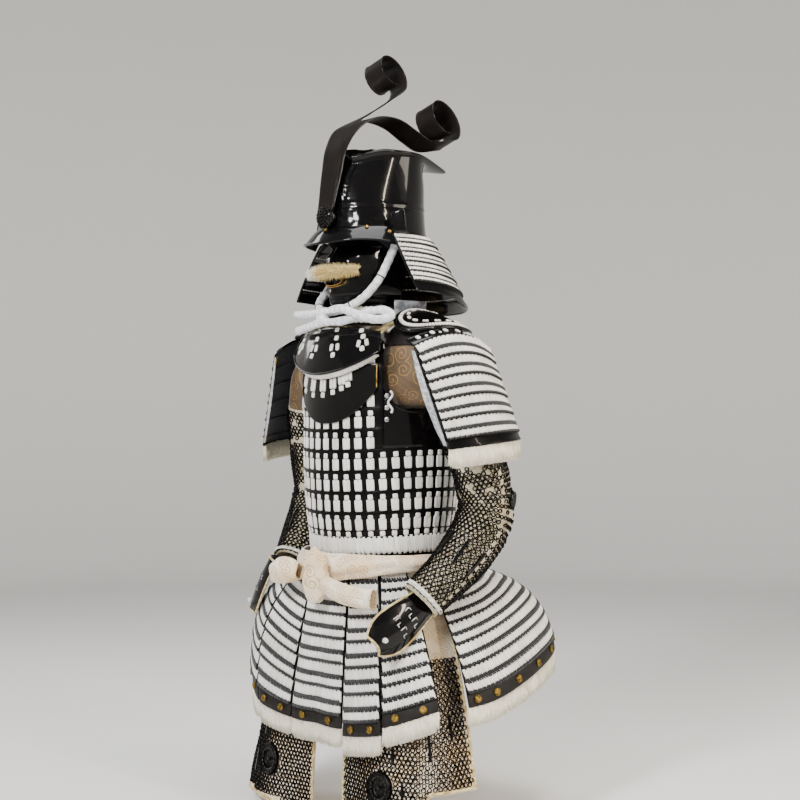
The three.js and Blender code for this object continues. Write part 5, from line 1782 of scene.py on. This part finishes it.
# Sash -----------------------------------------------------------------------------------------


def build_sash():
    def band(u, v):
        fold = 1.7 * math.sin(v * 15 + 3 * ring_noise(u, 2, 1)) + 1.8 * ring_noise(u, 4, v * 3)
        gathered = bump(min(u, 1 - u), 0, 0.05)
        return sash_point(u, lerp(0.31, -0.31, v), fold * (1 + gathered) - 1)

    cloth = {"slot": "brocade", "wall": 2.5}
    belt = sheet(
        "sash_band_cloth", band, 160, 22, "brocade", (1090, 92), seamed=True, replaces=["sash_band"], **cloth
    )

    bm = bmesh.new()
    bm.loops.layers.uv.new("UVMap")
    bmesh.ops.create_uvsphere(bm, u_segments=48, v_segments=30, radius=1, calc_uvs=True)
    uv = bm.loops.layers.uv.active
    for face in bm.faces:
        for loop in face.loops:
            loop[uv].uv = (loop[uv].uv.x * 0.11, loop[uv].uv.y * 0.13)
    for vert in bm.verts:
        x, y, z = vert.co
        folds = 0.06 * math.sin(x * 9 + 2 * z) + 0.1 * noise.noise(vert.co * 1.9 + Vector((3, 1, 0)))
        r = (1 + folds) * (1 - 0.16 * bump(z, 0.25, 0.16))
        vert.co = Vector((6 + 39 * x * r, -186 + 18 * y * r, -525 + 58 * z * (1 + folds * 0.4)))
    knot = finish_mesh("sash_knot_cloth", bm, "brocade", slot="brocade", replaces=["sash_knot"])

    rolls = []
    for name, table, seed, length, pinch in (
        ("sash_loop", SASH_LOOP, 2, 100, 1.5), ("sash_end", SASH_END, 5, 140, 0),
    ):

        def wall(u, v):
            folds = 1.5 * math.sin(u * 25 + 4 * v) + 2.0 * ring_noise(u, 1, v * 3 + seed)
            return roll_point(table, u, v, folds - 1 - pinch * bump(v, 0, 0.08))

        bm = grid(40, 30)
        put_on(bm, wall, None, (150, length))
        joined(bm)
        rolls.append(finish_mesh(name + "_cloth", bm, "brocade", replaces=[name], **cloth))

    loop, end = rolls


# Skirt ----------------------------------------------------------------------------------------


def skirt_panel(name, side, start, end, drop, seed):
    plain_surface = panel_surface(side, start, end, drop)

    def surface(u, v):
        """The panel with the soft crease that the left side one has a third of the way round."""
        point = plain_surface(u, v)
        if name != "skirt_side_left":
            return point
        away = Vector((point.x, point.y, 0)).normalized()
        ridge = max(0, 1 - abs(u - 0.3) / 0.3) - 0.4 * bump(u, 0.05, 0.1) - 0.5 * bump(u, 0.62, 0.14)
        return point + away * 9 * ridge * smoothstep(v, 0, 0.12) * (1 - smoothstep(v, 0.3, 0.75))

    width = span(surface, 1)
    columns = max(14, int(width / 11))
    sheet(
        name + "_plates", surface, columns, lame_rows(SKIRT_LAMES[:-1], False, 3), "plate", slot="laced_rows",
        replaces=[name], wall=PLATE, lining="lining", soften=0.4, sharp=38,
    )
    lacing_piece(name + "_lacing", surface, SKIRT_LAMES[:-1], CLOSE_LACING, 3, seed)
    strip = lambda u, v: surface(lerp(0.004, 0.996, u), lerp(SKIRT_LAMES[-2] - 0.004, 1.0, v))
    padded = [(0, 1.2), (0.33, 1.8), (0.66, 1.8), (1, 1.2)]
    sheet(name + "_hide", strip, columns, padded, "leather", wall=PLATE + 1, soften=0.8)
    count = max(2, round(width / 68))
    spots = [stand(strip, (k + 0.5) / count, 0.5, 1.4) for k in range(count)]
    rivets(name + "_rivets", spots, sizes()["rivet_width"], "brass", 0.28)
    tubes(name + "_rim", [hem_line(surface, 0.006, 0.02, 0.995, 30, -1.4)], 1.3, around=6)
    place = "" if side == "middle" else "_" + side
    fur_piece(name.removesuffix(place) + "_fringe" + place, surface, seed + 1, 0.98)


def build_skirt():
    for index, (name, side, start, end, drop) in enumerate(SKIRT_PANELS):
        skirt_panel(name, side, start, end, drop, 70 + 2 * index)


# Thigh guards ---------------------------------------------------------------------------------


def build_thigh_guard(side):
    def hanging(u, v):
        point = thigh_point(u, v)
        wave = 2.6 * math.sin(u * 17 + 1.5 * v) * v + 3 * noise.noise(Vector((u * 4, v * 5, 6)))
        away = Vector((point.x, point.y * 2, 0)).normalized()
        return point + away * wave * smoothstep(v, 0.1, 0.5)

    own = lambda u: u if side == "left" else 1 - u
    surface = on_side(side, hanging)
    levelled = on_side(side, lambda u, t: hanging(u, t / thigh_reach(u)))
    name = f"thigh_guard_{side}"
    cloth = sheet(
        name + "_cloth", surface, 44, 60, "brocade", (330, 560), slot="mail", replaces=[name], wall=CLOTH
    )
    disc_at = nearest(surface, (183 if side == "left" else -183, -163, -935))
    middle = surface(*disc_at)

    def keep(u, t):
        """True below the bare brocade, inside the piping and clear of the disc."""
        point = levelled(u, t)
        inside = 0.02 < u < 0.98 and t / thigh_reach(own(u)) < 0.975
        return point.z < MAIL_TOP and inside and (point - middle).length > 33

    mail_piece(name + "_mail", levelled, 570, 0.86, 16, keep, random.Random(81))
    lines = [
        edge_line(surface, corners, 40, 0.4)
        for corners in ([(0.006, 0.05), (0.006, 0.99), (0.66, 0.99)], [(0.7, 0.99), (0.994, 0.99), (0.994, 0.05)])
    ]
    tubes(name + "_piping", lines, 3.2, "piping", slot="cord")
    at = stand(surface, *disc_at, 0.6)
    rivets(name + "_disc", [at], 70, "mail", 0.05)
    dots = [at @ Matrix.Rotation(k * math.pi / 8, 4, "Z") @ Matrix.Translation((23, 0, 3)) for k in range(16)]
    rivets(name + "_disc_dots", dots + [at @ Matrix.Translation((0, 0, 3))], 8, "lacquer", 0.3)
    spots = ((0.2, 0.64), (0.5, 0.7), (0.56, 0.86), (0.72, 0.8), (0.86, 0.72))
    splints = [sized(stand(surface, own(u), v, 1.2), 5.5, 52, 3) for u, v in spots]
    strewn(name + "_splints", [(pad_template(2), splints)])


def build_thighs():
    band = lambda u, v: Vector((152 * math.sin(u * TAU), -125 * math.cos(u * TAU), lerp(-470, -502, v)))
    belt = sheet(
        "thigh_band_cloth", band, 96, 4, "brocade", (870, 32), seamed=True, slot="brocade",
        replaces=["thigh_band"], wall=PLATE,
    )
    for side in SIDES:
        build_thigh_guard(side)


# Stage ----------------------------------------------------------------------------------------


def build_stage():
    """A pale floor that sweeps up all round, soft light and a camera at the armour's left front."""
    scene = bpy.context.scene
    facing = Vector((0.743, -0.669, 0))
    across = Vector((0.669, 0.743, 0))
    floor_z, flat_radius, bend_radius, bend_run = -1.037, 4.6, 1.2, 1.9

    def sweep(u, v):
        reach, turn = 9.4 * v, TAU * u
        bend = clamp((reach - flat_radius) / bend_run) * math.pi / 2
        height = bend_radius * (1 - math.cos(bend)) + max(0, reach - flat_radius - bend_run)
        away = min(reach, flat_radius) + bend_radius * math.sin(bend)
        return Vector((away * math.cos(turn), away * math.sin(turn), floor_z + height))

    bm = grid(96, 94)
    put_on(bm, sweep)
    bmesh.ops.remove_doubles(bm, verts=bm.verts, dist=1e-4)
    mesh = template("floor", bm)
    floor = bpy.data.objects.new("floor", mesh)
    scene.collection.objects.link(floor)
    mesh.materials.append(surfaced("matt pale paint", "#e9e8e6", Roughness=0.9))

    def lamp(name, at, size, power, aim=(0, 0, -0.3), colour="#ffffff"):
        light = bpy.data.lights.new(name, "AREA")
        light.shape = "RECTANGLE"
        light.size, light.size_y = size
        light.energy = power
        light.color = linear(colour)[:3]
        thing = bpy.data.objects.new(name, light)
        thing.location = facing * at[0] + across * at[1] + Vector((0, 0, at[2]))
        thing.rotation_euler = (Vector(aim) - thing.location).to_track_quat("-Z", "Y").to_euler()
        scene.collection.objects.link(thing)

    lamp("key light", (2.6, -1.5, 1.5), (0.6, 0.8), 150)
    lamp("strip light", (2.0, 1.7, 1.35), (0.09, 1.9), 45, colour="#fff1dc")
    lamp("fill light", (1.0, 3.0, 0.6), (1.4, 1.6), 80, colour="#fff4e4")
    lamp("top light", (0.4, 0.1, 2.5), (1.6, 1.6), 75, (0, 0, 0))
    lamp("back light", (-1.6, -1.9, 1.4), (0.6, 1.4), 26)
    world = bpy.data.worlds.new("studio")
    world.use_nodes = True
    sky = world.node_tree.nodes["Background"].inputs
    sky["Color"].default_value = linear("#f2f3f5")
    sky["Strength"].default_value = 0.27
    scene.world = world
    camera = bpy.data.cameras.new("camera")
    camera.lens, camera.sensor_width = 69.08, 36
    stand_in = bpy.data.objects.new("camera", camera)
    stand_in.location = facing * 3.3 + across * 0.041 + Vector((0, 0, -0.202))
    stand_in.rotation_euler = (math.radians(90.709), 0, math.radians(48))
    scene.collection.objects.link(stand_in)
    scene.camera = stand_in


# Operators ------------------------------------------------------------------------------------


class ARMOUR_OT_trunk(bpy.types.Operator):
    """Add the cuirass: plates, spaced lacing, underarm plates and waist lacing"""

    bl_idname = "armour.trunk"
    bl_label = "Cuirass"

    def execute(self, context):
        build_trunk()
        return {"FINISHED"}


class ARMOUR_OT_straps(bpy.types.Operator):
    """Add the padded shoulder straps"""

    bl_idname = "armour.straps"
    bl_label = "Shoulder Straps"

    def execute(self, context):
        build_straps()
        return {"FINISHED"}


class ARMOUR_OT_throat(bpy.types.Operator):
    """Add the collar, the two throat guards and the laced bib"""

    bl_idname = "armour.throat"
    bl_label = "Collar and Throat Guards"

    def execute(self, context):
        build_throat()
        return {"FINISHED"}


class ARMOUR_OT_wings(bpy.types.Operator):
    """Add the small laced wings over the shoulders"""

    bl_idname = "armour.wings"
    bl_label = "Shoulder Wings"

    def execute(self, context):
        build_wings()
        return {"FINISHED"}


class ARMOUR_OT_helmet(bpy.types.Operator):
    """Add the helmet's bowl, peak and turnbacks"""

    bl_idname = "armour.helmet"
    bl_label = "Helmet"

    def execute(self, context):
        build_bowl()
        build_peak()
        return {"FINISHED"}


class ARMOUR_OT_neck_guard(bpy.types.Operator):
    """Add the laced neck guard"""

    bl_idname = "armour.neck_guard"
    bl_label = "Neck Guard"

    def execute(self, context):
        build_neck_guard()
        return {"FINISHED"}


class ARMOUR_OT_crest(bpy.types.Operator):
    """Add the crest's two curled fronds and their holder"""

    bl_idname = "armour.crest"
    bl_label = "Crest"

    def execute(self, context):
        build_crest()
        return {"FINISHED"}


class ARMOUR_OT_mask(bpy.types.Operator):
    """Add the half mask with its moustache"""

    bl_idname = "armour.mask"
    bl_label = "Mask"

    def execute(self, context):
        build_mask()
        return {"FINISHED"}


class ARMOUR_OT_cords(bpy.types.Operator):
    """Add the chin cord and its bow"""

    bl_idname = "armour.cords"
    bl_label = "Chin Cord"

    def execute(self, context):
        build_cords()
        return {"FINISHED"}


class ARMOUR_OT_shoulders(bpy.types.Operator):
    """Add the two large shoulder guards"""

    bl_idname = "armour.shoulders"
    bl_label = "Shoulder Guards"

    def execute(self, context):
        build_shoulders()
        return {"FINISHED"}


class ARMOUR_OT_sleeves(bpy.types.Operator):
    """Add the mail sleeves and the hand guards"""

    bl_idname = "armour.sleeves"
    bl_label = "Sleeves and Hand Guards"

    def execute(self, context):
        build_sleeves()
        return {"FINISHED"}


class ARMOUR_OT_sash(bpy.types.Operator):
    """Add the brocade sash and its knot"""

    bl_idname = "armour.sash"
    bl_label = "Sash"

    def execute(self, context):
        build_sash()
        return {"FINISHED"}


class ARMOUR_OT_skirt(bpy.types.Operator):
    """Add the eight laced skirt panels with their fur"""

    bl_idname = "armour.skirt"
    bl_label = "Skirt Panels"

    def execute(self, context):
        build_skirt()
        return {"FINISHED"}


class ARMOUR_OT_thighs(bpy.types.Operator):
    """Add the mail and brocade thigh guards"""

    bl_idname = "armour.thighs"
    bl_label = "Thigh Guards"

    def execute(self, context):
        build_thighs()
        return {"FINISHED"}


class ARMOUR_OT_stage(bpy.types.Operator):
    """Add the pale floor, the studio lights and the camera"""

    bl_idname = "armour.stage"
    bl_label = "Stage"

    def execute(self, context):
        build_stage()
        return {"FINISHED"}


OPERATORS = [
    ARMOUR_OT_trunk,
    ARMOUR_OT_straps,
    ARMOUR_OT_throat,
    ARMOUR_OT_wings,
    ARMOUR_OT_helmet,
    ARMOUR_OT_neck_guard,
    ARMOUR_OT_crest,
    ARMOUR_OT_mask,
    ARMOUR_OT_cords,
    ARMOUR_OT_shoulders,
    ARMOUR_OT_sleeves,
    ARMOUR_OT_sash,
    ARMOUR_OT_skirt,
    ARMOUR_OT_thighs,
    ARMOUR_OT_stage,
]


class ARMOUR_PT_pieces(bpy.types.Panel):
    """The armour's sizes, colours and pieces"""

    bl_idname = "ARMOUR_PT_pieces"
    bl_label = "Laced Armour"
    bl_space_type = "VIEW_3D"
    bl_region_type = "UI"
    bl_category = "Armour"

    def draw(self, context):
        layout = self.layout
        for group in (context.scene.armour_sizes, context.scene.armour_colours):
            box = layout.box()
            for name in group.__annotations__:
                box.prop(group, name)
        for operator in OPERATORS:
            layout.operator(operator.bl_idname)


CLASSES = [ArmourSizes, ArmourColours, *OPERATORS, ARMOUR_PT_pieces]


def register():
    for cls in CLASSES:
        bpy.utils.register_class(cls)
    bpy.types.Scene.armour_sizes = bpy.props.PointerProperty(type=ArmourSizes)
    bpy.types.Scene.armour_colours = bpy.props.PointerProperty(type=ArmourColours)


def unregister():
    del bpy.types.Scene.armour_colours
    del bpy.types.Scene.armour_sizes
    for cls in reversed(CLASSES):
        bpy.utils.unregister_class(cls)


def main():
    register()
    for operator in OPERATORS:
        getattr(bpy.ops.armour, operator.bl_idname.split(".")[1])()


if __name__ == "__main__":
    main()
